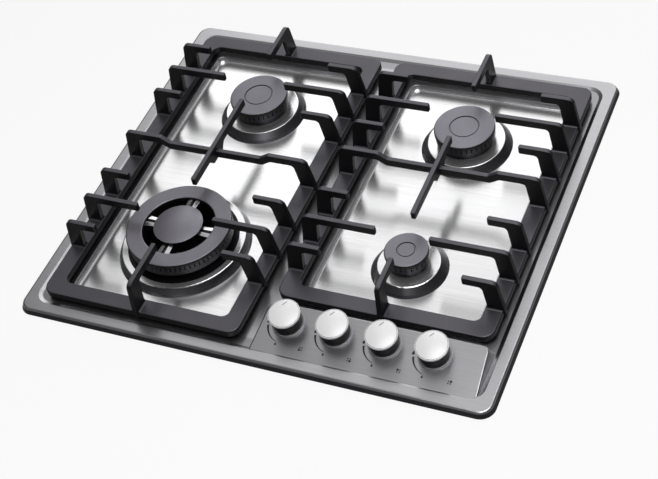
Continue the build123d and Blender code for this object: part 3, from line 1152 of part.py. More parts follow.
def make_leads():
    """The spark leads and the switch lead inside the box."""
    start = BOX_FLOOR_TOP + GENERATOR_SIZE[2] + 4.0
    t = terminal_places()
    left_run = -BURNER_X - 2 * MEDIUM_CAP_RADIUS
    rear_left = FRONT_LEFT.spark_place
    leads = [
        lead_along([t[0], (left_run, t[0][1]), (left_run, rear_left[1]), rear_left], start, SPARK_BOTTOM),
        lead_along([t[1], (REAR_LEFT.spark_place[0], t[1][1]), REAR_LEFT.spark_place], start, SPARK_BOTTOM),
        lead_along([t[2], (REAR_RIGHT.spark_place[0], t[2][1]), REAR_RIGHT.spark_place], start, SPARK_BOTTOM),
        lead_along([t[3], (t[3][0], FRONT_RIGHT.spark_place[1]), FRONT_RIGHT.spark_place], start, SPARK_BOTTOM)]
    return Compound(children=leads)


# ---- Write the nodes -----------------------------------------------------------------------------
def build():
    """Every node by name."""
    nodes = {
        "top_plate": make_top_plate(), "worktop_seal": make_seal(), "burner_box": make_burner_box(),
        "box_nuts": make_box_nuts(), "fixing_clamps": make_clamps(), "clamp_screws": make_clamp_screws(),
        "burner_supports": make_burner_supports(), "cup_screws": make_cup_screws(),
        "left_grate": make_left_grate(), "right_grate": make_right_grate(),
        "left_grate_feet": make_feet(-GRATE_X, LEFT_GRATE_FRONT),
        "right_grate_feet": make_feet(GRATE_X, RIGHT_GRATE_FRONT),
        "front_left_head": make_wok_head(), "front_left_outer_cap": make_wok_outer_cap(),
        "front_left_inner_cap": make_wok_inner_cap(), "jets": make_jets(), "spark_plugs": make_spark_plugs(),
        "gas_rail": make_rail(), "gas_inlet": make_inlet(), "rail_saddles": make_saddles(),
        "spark_generator": make_generator(), "spark_leads": make_leads(),
        "knob_bezels": Compound(children=[knob_plane(x) * make_bezel() for x in KNOB_XS]),
        "gas_taps": Compound(children=[make_tap(x) for x in KNOB_XS]),
        "spark_switches": Compound(children=[knob_plane(x) * make_switch() for x in KNOB_XS]),
    }
    for burner in BURNERS:
        nodes[burner.name + "_cup"] = make_cup(burner)
    for burner, groove in ((REAR_LEFT, MEDIUM_GROOVE_RADIUS), (REAR_RIGHT, MEDIUM_GROOVE_RADIUS),
                           (FRONT_RIGHT, SMALL_GROOVE_RADIUS)):
        nodes[burner.name + "_head"] = make_head(burner)
        nodes[burner.name + "_cap"] = make_cap(burner, groove)
    for name, pipe in make_pipes().items():
        nodes[name + "_pipe"] = pipe
    for i, x in enumerate(KNOB_XS, start=1):
        nodes[f"knob_{i}_body"] = knob_plane(x) * make_knob_body()
        nodes[f"knob_{i}_cap"] = knob_plane(x) * make_knob_cap()
        nodes[f"knob_{i}_stem"] = knob_plane(x) * make_stem()
        nodes[f"tap_{i}_plug"] = knob_plane(x) * make_plug()
        nodes[f"tap_{i}_spring"] = knob_plane(x) * make_spring()
    return nodes


if __name__ == "__main__":
    os.makedirs("parts", exist_ok=True)
    for name, shape in build().items():
        export_step(shape, f"parts/{name}.step")
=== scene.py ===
"""Studio picture of a built-in gas cooktop. Metres, +Z up, +X to the right, -Y to the user."""
import itertools
import json
import math

import bmesh
import bpy
from mathutils import Matrix, Vector


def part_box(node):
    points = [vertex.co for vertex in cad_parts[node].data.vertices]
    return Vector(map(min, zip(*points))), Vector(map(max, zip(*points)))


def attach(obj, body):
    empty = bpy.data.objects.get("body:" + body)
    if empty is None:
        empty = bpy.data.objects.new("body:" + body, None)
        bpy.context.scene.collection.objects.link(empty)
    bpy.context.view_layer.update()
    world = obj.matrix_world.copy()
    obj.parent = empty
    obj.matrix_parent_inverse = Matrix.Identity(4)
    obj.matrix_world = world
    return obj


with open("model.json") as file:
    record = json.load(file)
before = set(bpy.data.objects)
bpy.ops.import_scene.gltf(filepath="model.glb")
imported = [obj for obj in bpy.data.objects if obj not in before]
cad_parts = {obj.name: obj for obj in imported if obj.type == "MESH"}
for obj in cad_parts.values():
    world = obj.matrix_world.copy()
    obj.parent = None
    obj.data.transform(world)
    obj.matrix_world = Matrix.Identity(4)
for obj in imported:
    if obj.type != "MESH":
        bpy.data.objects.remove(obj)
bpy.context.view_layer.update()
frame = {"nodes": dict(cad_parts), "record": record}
nodes = frame["nodes"]
record = frame["record"]

# ---- Camera --------------------------------------------------------------------------------------
CAMERA_PLACE = (0.6621, -1.0248, 1.2272)
CAMERA_TURN = (42.229, 10.0115, 22.487)
CAMERA_LENS = 79.57
SENSOR_WIDTH = 36.0

# ---- Light ---------------------------------------------------------------------------------------
OVERHEAD_POWER = 26.5
OVERHEAD_PLACE = (0.55, -0.40, 2.0)
OVERHEAD_SIZE = (1.5, 1.5)
# The world's glow, and the parts of its direction between which it fades.
GLOW = 1.55
GLOW_LEFT = (-0.585, -0.44)
GLOW_RIGHT = (0.05, 0.45)
GLOW_FRONT = (0.00, 0.32)
GLOW_HIGH = (0.66, 0.80)
GLOW_HIGH_SHARE = 0.24
CEILING = 0.22
CEILING_RISE = (0.2, 1.0)
UNLIT = 0.07
BACKGROUND = 1.0

# ---- Plate steel: rim and ledge, tray floors, burner bosses and outer wall -------------------------
STEEL = (0.50, 0.497, 0.515)
# Painted highlight: the lighter steel of the tray floors and boss tops.
STEEL_FLOOR_PAINTED_HIGHLIGHT = (0.93, 0.93, 0.94)
# Painted shade: the dark steel of the boss slopes.
STEEL_BOSS_PAINTED_SHADE = (0.22, 0.216, 0.232)
# Painted shade: the near-black steel of the outer wall below the rim.
STEEL_WALL_PAINTED_SHADE = (0.07, 0.068, 0.078)
# On the rim, and on the floors and boss tops.
STEEL_METALLIC = (1.0, 0.92)
STEEL_ROUGHNESS = (0.31, 0.21)
STEEL_ROUGHNESS_GIVE = 0.02
STEEL_STRETCH = 0.75
STEEL_LINES = (9, 2200, 2200)
STEEL_LINE_SHADE = (0.90, 1.06)
STEEL_LINE_BUMP = 0.10
STEEL_STREAKS = (2.5, 420, 420)
STEEL_STREAK_SHADE = (0.97, 1.03)
STEEL_CLOUD_SCALE = 6.0
# Places, heights and slopes between which one steel fades into another: the rim, the floors with their
# painted highlight, and the boss slopes and outer wall with their painted shade.
INSIDE_X = (0.250, 0.252)
INSIDE_Y = (0.222, 0.224)
FLOOR_Z = (0.0012, 0.0030)
WALL_Z = (0.0045, 0.0062)
FLAT_NORMAL = (0.75, 0.95)
BOSS_REACH = {"front_left": 0.0815, "rear_left": 0.056, "rear_right": 0.056, "front_right": 0.046}
BOSS_EDGE = 0.001

# ---- Other finishes ------------------------------------------------------------------------------
NOISE_RANGE = (0.25, 0.75)
NOISE_ROUGHNESS = 0.55
BRUSH_DETAIL = 2.0
BRUSH_DEPTH = 0.00002
GRAIN_DETAIL = 3.0
GRAIN_DEPTH = 0.0001
GRAIN_CLOUD_SCALE = 22.0
GRAIN_ROUGHNESS_GIVE = 0.04
ENAMEL_CLOUD_SCALE = 26.0
ENAMEL_CLOUD_SHADE = (0.92, 1.08)
# Painted sheen of the enamels: the normal's rise over which it comes in, and its metallic.
ENAMEL_PAINTED_SHEEN_NORMAL = (0.55, 0.97)
ENAMEL_METALLIC = 0.8
ENAMEL_SPECULAR = 0.25
KNOB_METAL = (0.95, 0.95, 0.955)
KNOB_METAL_DARK = (0.92, 0.92, 0.925)
KNOB_METALLIC = 0.12
KNOB_ROUGHNESS = (0.35, 0.41)
KNOB_LINES = (12, 2600, 2600)
KNOB_LINE_BUMP = 0.04
KNOB_CLOUD_SCALE = 9.0
PLASTIC_SPECULAR = 0.15

# Face colour, colour of the painted sheen where a face looks up, roughness, grain scale and grain strength.
ENAMELS = {
    "grate_enamel": ((0.0065, 0.006, 0.0075), (0.120, 0.116, 0.130), 0.40, 1500, 0.14),
    "cap_enamel": ((0.008, 0.0077, 0.0092), (0.245, 0.237, 0.268), 0.42, 1600, 0.08),
}

# Colour, its darker shade, roughness, grain scale, grain strength, metallic, and specular if not 0.5.
GRAINS = {
    "seal_foam": ((0.05, 0.05, 0.05), (0.035, 0.035, 0.035), 0.85, 1800, 0.5, 0.0),
    "box_sheet": ((0.33, 0.34, 0.35), (0.28, 0.29, 0.30), 0.42, 500, 0.05, 0.85),
    "zinc_steel": ((0.66, 0.66, 0.63), (0.58, 0.58, 0.56), 0.35, 700, 0.06, 1.0),
    "grate_rubber": ((0.03, 0.03, 0.03), (0.02, 0.02, 0.02), 0.75, 1200, 0.2, 0.0),
    # burner_aluminium is near black as painted shade on the cups beneath the burner heads.
    "burner_aluminium": ((0.035, 0.034, 0.038), (0.022, 0.021, 0.025), 0.32, 900, 0.10, 0.9),
    "head_aluminium": ((0.055, 0.053, 0.058), (0.040, 0.038, 0.043), 0.30, 900, 0.08, 0.9),
    "brass": ((0.78, 0.60, 0.28), (0.70, 0.52, 0.24), 0.3, 800, 0.05, 1.0),
    "ceramic": ((0.88, 0.87, 0.84), (0.82, 0.81, 0.78), 0.2, 300, 0.03, 0.0),
    "rail_steel": ((0.60, 0.61, 0.62), (0.52, 0.53, 0.54), 0.33, 700, 0.05, 1.0),
    "pipe_aluminium": ((0.76, 0.77, 0.78), (0.70, 0.71, 0.72), 0.3, 700, 0.04, 1.0),
    "knob_plastic": ((0.005, 0.005, 0.006), (0.003, 0.003, 0.004), 0.36, 1500, 0.05, 0.0, PLASTIC_SPECULAR),
    "bezel_grey": ((0.42, 0.42, 0.44), (0.38, 0.38, 0.40), 0.35, 1500, 0.06, 0.6),
    "ignition_plastic": ((0.06, 0.06, 0.065), (0.05, 0.05, 0.055), 0.5, 1200, 0.15, 0.0),
    "lead_silicone": ((0.50, 0.09, 0.07), (0.42, 0.07, 0.06), 0.5, 900, 0.08, 0.0),
    "panel_ink": ((0.012, 0.012, 0.014), (0.008, 0.008, 0.010), 0.5, 2500, 0.05, 0.0),
    # pointer_ink also colours the painted groove shade round each cap's dome.
    "pointer_ink": ((0.10, 0.10, 0.11), (0.08, 0.08, 0.09), 0.5, 2500, 0.05, 0.0),
    "polished_saddle": ((0.86, 0.86, 0.88), (0.74, 0.74, 0.76), 0.20, 900, 0.03, 1.0),
}

# ---- Knobs, their pointers and the marks printed beside them ---------------------------------------
KNOB_XS = (0.039, 0.096, 0.153, 0.210)
KNOB_Y = -0.19755
PANEL_Z = 0.0075
PANEL_FRONT = -0.231
PANEL_TILT = math.radians(8.1)
KNOB_DOME_TOP = 0.0245
KNOB_DOME_RADIUS = 0.0611
# Painted shade: a thin dark ring round each cap's dome where its groove falls dark.
KNOB_GROOVE_SHADE = (0.0171, 0.0175)
KNOB_GROOVE_SHADE_HEIGHT = 0.02206
KNOB_GROOVE_SHADE_DEPTH = 0.0003
KNOB_GROOVE_SHADE_STEPS = 72
PRINT_RISE = 0.00006
PRINT_THICK = 0.00006
ARC_ANGLE = (math.radians(107), math.radians(166))
ARC_RADIUS = (0.0231, 0.0252)
ARC_WIDTH = (0.0024, 0.0006)
ARC_STEPS = 24
HIGH_FLAME_PLACE = (0.0235, math.radians(97))
LOW_FLAME_PLACE = (0.0285, math.radians(169))
HIGH_FLAME_SIZE = 0.0017
LOW_FLAME_SIZE = 0.0012
FLAME_TAPER = 0.75
FLAME_STRETCH = 2.1
FLAME_SEGMENTS = 14
HOB_PLACE = (0.0250, -0.0270)
HOB_PITCH = 0.0027
HOB_DOT_OWN = 0.001215
HOB_DOT_OTHER = 0.00072
POINTER_PLACE = (-0.0032, 0.0113)
POINTER_LENGTH = 0.0062
POINTER_WIDTH = 0.0008
POINTER_THICK = 0.0008
POINTER_RISE = 0.00008
POINTER_LEAN = math.radians(-29)

# ---- Saddles over the triple-ring burner's bridges -------------------------------------------------
WOK_CENTRE = (-0.1366, -0.1109)
SADDLE_REACH = (0.0285, 0.0426)
SADDLE_FLARE = 1.18
SADDLE_THICK = 0.0005
# Half-width and height of a saddle's foot, shoulder, lip and slot.
SADDLE_WING = ((0.0075, 0.0240), (0.0065, 0.0321), (0.0019, 0.0330), (0.0015, 0.0285))

# ---- Worktop -------------------------------------------------------------------------------------
WORKTOP_HALF = (1.5, 1.5)
CUTOUT_HALF = (0.2775, 0.2425)
WORKTOP_ROUGHNESS = 0.8
WORKTOP_COLOUR = (0.93, 0.93, 0.93)
WORKTOP_BOUNCE = (0.28, 0.28, 0.28)
# How much of the worktop glows plain white, to the camera and to the steel's reflections.
WORKTOP_WHITE = 0.82
WORKTOP_GLOSS = 0.10


# ---- Node helpers --------------------------------------------------------------------------------
def new_material(name):
    """A node material that holds only its shader and its output."""
    material = bpy.data.materials.new(name)
    material.use_nodes = True
    tree = material.node_tree
    tree.nodes.clear()
    shader = tree.nodes.new("ShaderNodeBsdfPrincipled")
    out = tree.nodes.new("ShaderNodeOutputMaterial")
    tree.links.new(shader.outputs["BSDF"], out.inputs["Surface"])
    return material, tree, shader


def object_coords(tree, scale=(1, 1, 1)):
    """Object coordinates through a Mapping node."""
    coords = tree.nodes.new("ShaderNodeTexCoord")
    mapping = tree.nodes.new("ShaderNodeMapping")
    mapping.inputs["Scale"].default_value = scale
    tree.links.new(coords.outputs["Object"], mapping.inputs["Vector"])
    return mapping.outputs["Vector"]


def noise(tree, vector, scale, detail):
    """A noise texture's factor."""
    node = tree.nodes.new("ShaderNodeTexNoise")
    node.inputs["Scale"].default_value = scale
    node.inputs["Detail"].default_value = detail
    node.inputs["Roughness"].default_value = NOISE_ROUGHNESS
    tree.links.new(vector, node.inputs["Vector"])
    return node.outputs["Fac"]


def combine(tree, operation, first, second):
    """One value from two, each an output or a number, by a maths operation."""
    node = tree.nodes.new("ShaderNodeMath")
    node.operation = operation
    for socket, value in zip(node.inputs, (first, second)):
        if isinstance(value, (int, float)):
            socket.default_value = value
        else:
            tree.links.new(value, socket)
    return node.outputs["Value"]


def ramp(tree, value, start, end, low, high, smooth=True):
    """A value's way from low at start to high at end."""
    node = tree.nodes.new("ShaderNodeMapRange")
    node.interpolation_type = "SMOOTHSTEP" if smooth else "LINEAR"
    node.inputs["From Min"].default_value = start
    node.inputs["From Max"].default_value = end
    node.inputs["To Min"].default_value = low
    node.inputs["To Max"].default_value = high
    tree.links.new(value, node.inputs["Value"])
    return node.outputs["Result"]


def spread(tree, factor, low, high):
    """Map the range that a noise mostly keeps to onto low..high."""
    return ramp(tree, factor, *NOISE_RANGE, low, high, smooth=False)


def facing_up(tree, start, end):
    """Nought where a face's normal rises no more than start, and one from end up."""
    geometry = tree.nodes.new("ShaderNodeNewGeometry")
    split = tree.nodes.new("ShaderNodeSeparateXYZ")
    tree.links.new(geometry.outputs["Normal"], split.inputs["Vector"])
    return ramp(tree, split.outputs["Z"], start, end, 0, 1)


def mix_colours(tree, factor, first, second):
    """Mix a colour, an output or a fixed one, with a fixed colour by a factor."""
    node = tree.nodes.new("ShaderNodeMix")
    node.data_type = "RGBA"
    if isinstance(first, tuple):
        node.inputs["A"].default_value = (*first, 1)
    else:
        tree.links.new(first, node.inputs["A"])
    node.inputs["B"].default_value = (*second, 1)
    tree.links.new(factor, node.inputs["Factor"])
    return node.outputs["Result"]


def scale_colour(tree, colour, value):
    """A colour made lighter or darker by a value."""
    node = tree.nodes.new("ShaderNodeVectorMath")
    node.operation = "SCALE"
    tree.links.new(colour, node.inputs[0])
    tree.links.new(value, node.inputs["Scale"])
    return node.outputs["Vector"]


def bump(tree, height, strength, distance):
    """A bump normal from a height."""
    node = tree.nodes.new("ShaderNodeBump")
    node.inputs["Strength"].default_value = strength
    node.inputs["Distance"].default_value = distance
    tree.links.new(height, node.inputs["Height"])
    return node.outputs["Normal"]


# ---- Materials -----------------------------------------------------------------------------------
def plate_steel(name):
    """The pressed plate: tray floors and boss tops lighter as a painted highlight, boss slopes and outer
    wall darker as painted shade.
    """
    material, tree, shader = new_material(name)
    place = object_coords(tree)
    split = tree.nodes.new("ShaderNodeSeparateXYZ")
    tree.links.new(place, split.inputs["Vector"])
    across = combine(tree, "ABSOLUTE", split.outputs["X"], 0)
    along = combine(tree, "ABSOLUTE", split.outputs["Y"], 0)
    height = split.outputs["Z"]
    inside = combine(tree, "MULTIPLY", ramp(tree, across, *INSIDE_X, 1, 0),
                     ramp(tree, along, *INSIDE_Y, 1, 0))
    outside = combine(tree, "SUBTRACT", 1, inside)
    # The outer wall below the rim: painted shade.
    wall = combine(tree, "MULTIPLY", outside, ramp(tree, height, *WALL_Z, 1, 0))
    boss = boss_share(tree, place)
    flat = facing_up(tree, *FLAT_NORMAL)
    # Boss slopes, where a boss's side doesn't look up: painted shade.
    slope = combine(tree, "MULTIPLY", boss, combine(tree, "SUBTRACT", 1, flat))
    # Tray floors and boss tops: where the painted highlight goes, with their smoother, slightly less
    # metallic finish.
    floor = combine(tree, "MULTIPLY", inside, ramp(tree, height, *FLOOR_Z, 1, 0))
    floor = combine(tree, "MAXIMUM", floor, combine(tree, "MULTIPLY", boss, flat))
    lines = noise(tree, object_coords(tree, STEEL_LINES), 1.0, BRUSH_DETAIL)
    streaks = noise(tree, object_coords(tree, STEEL_STREAKS), 1.0, BRUSH_DETAIL)
    cloud = noise(tree, place, STEEL_CLOUD_SCALE, BRUSH_DETAIL)
    grain = combine(tree, "MULTIPLY", spread(tree, lines, *STEEL_LINE_SHADE),
                    spread(tree, streaks, *STEEL_STREAK_SHADE))
    # Painted highlight on the floors and boss tops, painted shade on the boss slopes and the outer wall.
    metal = mix_colours(tree, floor, STEEL, STEEL_FLOOR_PAINTED_HIGHLIGHT)
    metal = mix_colours(tree, slope, metal, STEEL_BOSS_PAINTED_SHADE)
    metal = mix_colours(tree, wall, metal, STEEL_WALL_PAINTED_SHADE)
    tree.links.new(scale_colour(tree, metal, grain), shader.inputs["Base Color"])
    rough = combine(tree, "ADD", ramp(tree, floor, 0, 1, *STEEL_ROUGHNESS, smooth=False),
                    spread(tree, cloud, -STEEL_ROUGHNESS_GIVE, STEEL_ROUGHNESS_GIVE))
    tree.links.new(rough, shader.inputs["Roughness"])
    tree.links.new(ramp(tree, floor, 0, 1, *STEEL_METALLIC, smooth=False), shader.inputs["Metallic"])
    tree.links.new(bump(tree, lines, STEEL_LINE_BUMP, BRUSH_DEPTH), shader.inputs["Normal"])
    stretch = tree.nodes.new("ShaderNodeCombineXYZ")
    stretch.inputs["Y"].default_value = 1
    tree.links.new(stretch.outputs["Vector"], shader.inputs["Tangent"])
    shader.inputs["Anisotropic"].default_value = STEEL_STRETCH
    return material


def boss_share(tree, place):
    """One inside the four bosses that carry the burners, and nought outside them."""
    flat = tree.nodes.new("ShaderNodeVectorMath")
    flat.operation = "MULTIPLY"
    flat.inputs[1].default_value = (1, 1, 0)
    tree.links.new(place, flat.inputs[0])
    share = 0
    for burner, reach in BOSS_REACH.items():
        low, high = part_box(f"{burner}_cup")
        gap = tree.nodes.new("ShaderNodeVectorMath")
        gap.operation = "DISTANCE"
        gap.inputs[1].default_value = ((low[0] + high[0]) / 2, (low[1] + high[1]) / 2, 0)
        tree.links.new(flat.outputs["Vector"], gap.inputs[0])
        share = combine(tree, "ADD", share, ramp(tree, gap.outputs["Value"], reach - BOSS_EDGE, reach, 1, 0))
    return share


def brushed_knob(name):
    """A knob's pale brushed cap: fine lines along X in its colour and bump."""
    material, tree, shader = new_material(name)
    lines = noise(tree, object_coords(tree, KNOB_LINES), 1.0, BRUSH_DETAIL)
    cloud = noise(tree, object_coords(tree), KNOB_CLOUD_SCALE, BRUSH_DETAIL)
    colour = mix_colours(tree, spread(tree, lines, 0.0, 1.0), KNOB_METAL_DARK, KNOB_METAL)
    tree.links.new(colour, shader.inputs["Base Color"])
    tree.links.new(spread(tree, cloud, *KNOB_ROUGHNESS), shader.inputs["Roughness"])
    tree.links.new(bump(tree, lines, KNOB_LINE_BUMP, BRUSH_DEPTH), shader.inputs["Normal"])
    shader.inputs["Metallic"].default_value = KNOB_METALLIC
    return material


def enamel(name, face, top, roughness, scale, strength):
    """Matt black enamel: deep black faces, and a painted sheen, lighter and metallic, where a face looks up.
    """
    material, tree, shader = new_material(name)
    place = object_coords(tree)
    fine = noise(tree, place, scale, GRAIN_DETAIL)
    cloud = noise(tree, place, ENAMEL_CLOUD_SCALE, GRAIN_DETAIL)
    # Painted sheen: a lighter, metallic colour where a face looks up.
    painted_sheen = facing_up(tree, *ENAMEL_PAINTED_SHEEN_NORMAL)
    shade = spread(tree, cloud, *ENAMEL_CLOUD_SHADE)
    colour = scale_colour(tree, mix_colours(tree, painted_sheen, face, top), shade)
    tree.links.new(colour, shader.inputs["Base Color"])
    tree.links.new(combine(tree, "MULTIPLY", painted_sheen, ENAMEL_METALLIC), shader.inputs["Metallic"])
    add_grain(tree, shader, fine, roughness, strength)
    shader.inputs["Specular IOR Level"].default_value = ENAMEL_SPECULAR
    return material


def grained(name, colour, dark, roughness, scale, strength, metallic, specular=0.5):
    """A cast, moulded or printed finish: soft clouds in its colour and fine grain over them."""
    material, tree, shader = new_material(name)
    place = object_coords(tree)
    fine = noise(tree, place, scale, GRAIN_DETAIL)
    cloud = noise(tree, place, GRAIN_CLOUD_SCALE, GRAIN_DETAIL)
    shades = mix_colours(tree, spread(tree, cloud, 0.0, 1.0), dark, colour)
    tree.links.new(shades, shader.inputs["Base Color"])
    add_grain(tree, shader, fine, roughness, strength)
    shader.inputs["Metallic"].default_value = metallic
    shader.inputs["Specular IOR Level"].default_value = specular
    return material


def add_grain(tree, shader, fine, roughness, strength):
    """Fine grain in a shader's roughness and bump."""
    rough = spread(tree, fine, roughness - GRAIN_ROUGHNESS_GIVE, roughness + GRAIN_ROUGHNESS_GIVE)
    tree.links.new(rough, shader.inputs["Roughness"])
    tree.links.new(bump(tree, fine, strength, GRAIN_DEPTH), shader.inputs["Normal"])


def make_materials():
    """A finish for each material slot of the record, and for the pieces made here."""
    finishes = {"steel_plate": plate_steel("steel_plate"), "knob_metal": brushed_knob("knob_metal")}
    finishes.update({name: enamel(name, *row) for name, row in ENAMELS.items()})
    finishes.update({name: grained(name, *row) for name, row in GRAINS.items()})
    return finishes


def finish_nodes(finishes):
    """Give every CAD node the finish of its slot."""
    for part in record["subparts"]:
        node = nodes[part["node"]]
        node.data.materials.clear()
        node.data.materials.append(finishes[part["material_slot"]])


# ---- Pieces made here ----------------------------------------------------------------------------
def finished_piece(name, mesh, material, body):
    """A mesh as an object at the origin that rides on a body."""
    bmesh.ops.recalc_face_normals(mesh, faces=mesh.faces)
    data = bpy.data.meshes.new(name)
    mesh.to_mesh(data)
    mesh.free()
    piece = bpy.data.objects.new(name, data)
    bpy.context.scene.collection.objects.link(piece)
    data.materials.append(material)
    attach(piece, body)


def panel_place(x):
    """The panel's own place at a knob's foot: across, up the slope, and out of the panel."""
    foot = Vector((x, KNOB_Y, PANEL_Z + (KNOB_Y - PANEL_FRONT) * math.tan(PANEL_TILT)))
    return Matrix.Translation(foot) @ Matrix.Rotation(PANEL_TILT, 4, "X")


def between(ends, share):
    """The value at a share of the way between two ends."""
    return ends[0] + (ends[1] - ends[0]) * share


def add_arc(mesh):
    """The arc that thins from the high flame to the low one."""
    strip = bmesh.ops.create_grid(mesh, x_segments=ARC_STEPS, y_segments=1, size=0.5)["verts"]
    for vert in strip:
        share = vert.co.x + 0.5
        angle = between(ARC_ANGLE, share)
        radius = between(ARC_RADIUS, share) + between(ARC_WIDTH, share) * vert.co.y
        vert.co = Vector((-radius * math.sin(angle), radius * math.cos(angle), 0))


def add_flame(mesh, place, size):
    """A small drop with its point away from the user."""
    radius, angle = place
    drop = bmesh.ops.create_circle(mesh, cap_ends=True, segments=FLAME_SEGMENTS, radius=size)["verts"]
    for vert in drop:
        if vert.co.y > 0:
            vert.co.x *= 1 - vert.co.y / size * FLAME_TAPER
            vert.co.y *= FLAME_STRETCH
    bmesh.ops.translate(mesh, vec=(-radius * math.sin(angle), radius * math.cos(angle), 0), verts=drop)


def add_hob_sign(mesh, knob):
    """Four dots for the four burners, with a larger one for the burner that the knob feeds."""
    for i in range(4):
        size = HOB_DOT_OWN if i == knob else HOB_DOT_OTHER
        x = HOB_PLACE[0] + (i % 2 - 0.5) * HOB_PITCH
        y = HOB_PLACE[1] + (i // 2 - 0.5) * HOB_PITCH
        dot = bmesh.ops.create_grid(mesh, x_segments=1, y_segments=1, size=size)["verts"]
        bmesh.ops.translate(mesh, vec=(x, y, 0), verts=dot)


def give_thickness(mesh, faces, thickness):
    """Raise flat faces into a thin layer with sides."""
    raised = bmesh.ops.extrude_face_region(mesh, geom=faces)["geom"]
    verts = [item for item in raised if isinstance(item, bmesh.types.BMVert)]
    bmesh.ops.translate(mesh, vec=(0, 0, thickness), verts=verts)


def make_panel_print(ink):
    """The dark marks beside each knob."""
    for i, x in enumerate(KNOB_XS):
        mesh = bmesh.new()
        add_arc(mesh)
        add_flame(mesh, HIGH_FLAME_PLACE, HIGH_FLAME_SIZE)
        add_flame(mesh, LOW_FLAME_PLACE, LOW_FLAME_SIZE)
        add_hob_sign(mesh, i)
        give_thickness(mesh, mesh.faces[:], PRINT_THICK)
        bmesh.ops.translate(mesh, vec=(0, 0, PRINT_RISE), verts=mesh.verts)
        bmesh.ops.transform(mesh, matrix=panel_place(x), verts=mesh.verts)
        finished_piece(f"knob_{i + 1}_marks", mesh, ink, "root")


def add_pointer(mesh):
    """The short line near a cap's rear edge, laid on its dome."""
    line = bmesh.ops.create_cube(mesh, size=1.0)["verts"]
    bmesh.ops.scale(mesh, vec=(POINTER_WIDTH, POINTER_LENGTH, POINTER_THICK), verts=line)
    bmesh.ops.translate(mesh, vec=(0, 0, POINTER_RISE - POINTER_THICK / 2), verts=line)
    bmesh.ops.rotate(mesh, matrix=Matrix.Rotation(POINTER_LEAN, 3, "Z"), verts=line)
    height = math.sqrt(KNOB_DOME_RADIUS ** 2 - Vector(POINTER_PLACE).length_squared)
    out = Vector((*POINTER_PLACE, height))
    tilt = Vector((0, 0, 1)).rotation_difference(out).to_matrix()
    bmesh.ops.rotate(mesh, matrix=tilt, verts=line)
    bmesh.ops.translate(mesh, vec=out + Vector((0, 0, KNOB_DOME_TOP - KNOB_DOME_RADIUS)), verts=line)


def add_groove_shade(mesh):
    """A thin dark ring where a cap's dome meets its rounded edge: painted shade of the groove there."""
    inner, outer = KNOB_GROOVE_SHADE
    low = KNOB_GROOVE_SHADE_HEIGHT - KNOB_GROOVE_SHADE_DEPTH
    corners = [(inner, KNOB_GROOVE_SHADE_HEIGHT), (outer, KNOB_GROOVE_SHADE_HEIGHT), (outer, low), (inner, low)]
    ring = [mesh.verts.new((radius, 0, height)) for radius, height in corners]
    edges = [mesh.edges.new((ring[i - 1], ring[i])) for i in range(4)]
    bmesh.ops.spin(mesh, geom=ring + edges, angle=math.tau, steps=KNOB_GROOVE_SHADE_STEPS, axis=(0, 0, 1),
                   cent=(0, 0, 0), use_merge=True)


def make_pointers(ink):
    """The short grey line near each cap's rear edge, and a thin dark ring round its dome as painted groove
    shade.
    """
    for i, x in enumerate(KNOB_XS):
        mesh = bmesh.new()
        add_pointer(mesh)
        add_groove_shade(mesh)
        bmesh.ops.transform(mesh, matrix=panel_place(x), verts=mesh.verts)
        finished_piece(f"knob_{i + 1}_pointer", mesh, ink, f"knob_{i + 1}")


def make_saddles(chrome):
    """The four bright saddles that cover the bridges between the triple-ring burner's rings."""
    mesh = bmesh.new()
    for i, side in itertools.product(range(4), (-1, 1)):
        verts = [mesh.verts.new((SADDLE_REACH[0], side * y, z)) for y, z in SADDLE_WING]
        start = [mesh.edges.new(pair) for pair in zip(verts, verts[1:])]
        swept = bmesh.ops.extrude_edge_only(mesh, edges=start)["geom"]
        ends = [item for item in swept if isinstance(item, bmesh.types.BMVert)]
        bmesh.ops.translate(mesh, vec=(SADDLE_REACH[1] - SADDLE_REACH[0], 0, 0), verts=ends)
        bmesh.ops.scale(mesh, vec=(1, SADDLE_FLARE, 1), verts=ends)
        bmesh.ops.rotate(mesh, matrix=Matrix.Rotation(math.radians(90 * i), 3, "Z"), verts=verts + ends)
    sheet = mesh.faces[:]
    bmesh.ops.recalc_face_normals(mesh, faces=sheet)
    for face in sheet:
        if face.normal.z < 0:
            face.normal_flip()
    bmesh.ops.solidify(mesh, geom=sheet, thickness=SADDLE_THICK)
    bmesh.ops.translate(mesh, vec=(*WOK_CENTRE, 0), verts=mesh.verts)
    finished_piece("wok_burner_saddles", mesh, chrome, "front_left_head")


# ---- Stage ---------------------------------------------------------------------------------------
def corners_of(half_x, half_y):
    """The corners of a rectangle round the origin."""
    return [(-half_x, -half_y), (half_x, -half_y), (half_x, half_y), (-half_x, half_y)]


def make_floor():
    """The pale worktop with its cut-out."""
    mesh = bmesh.new()
    outer = [mesh.verts.new((x, y, 0)) for x, y in corners_of(*WORKTOP_HALF)]
    inner = [mesh.verts.new((x, y, 0)) for x, y in corners_of(*CUTOUT_HALF)]
    for i in range(4):
        j = (i + 1) % 4
        mesh.faces.new((outer[i], outer[j], inner[j], inner[i]))
    data = bpy.data.meshes.new("worktop")
    mesh.to_mesh(data)
    mesh.free()
    data.materials.append(worktop_white("worktop_white"))
    floor = bpy.data.objects.new("worktop", data)
    bpy.context.scene.collection.objects.link(floor)


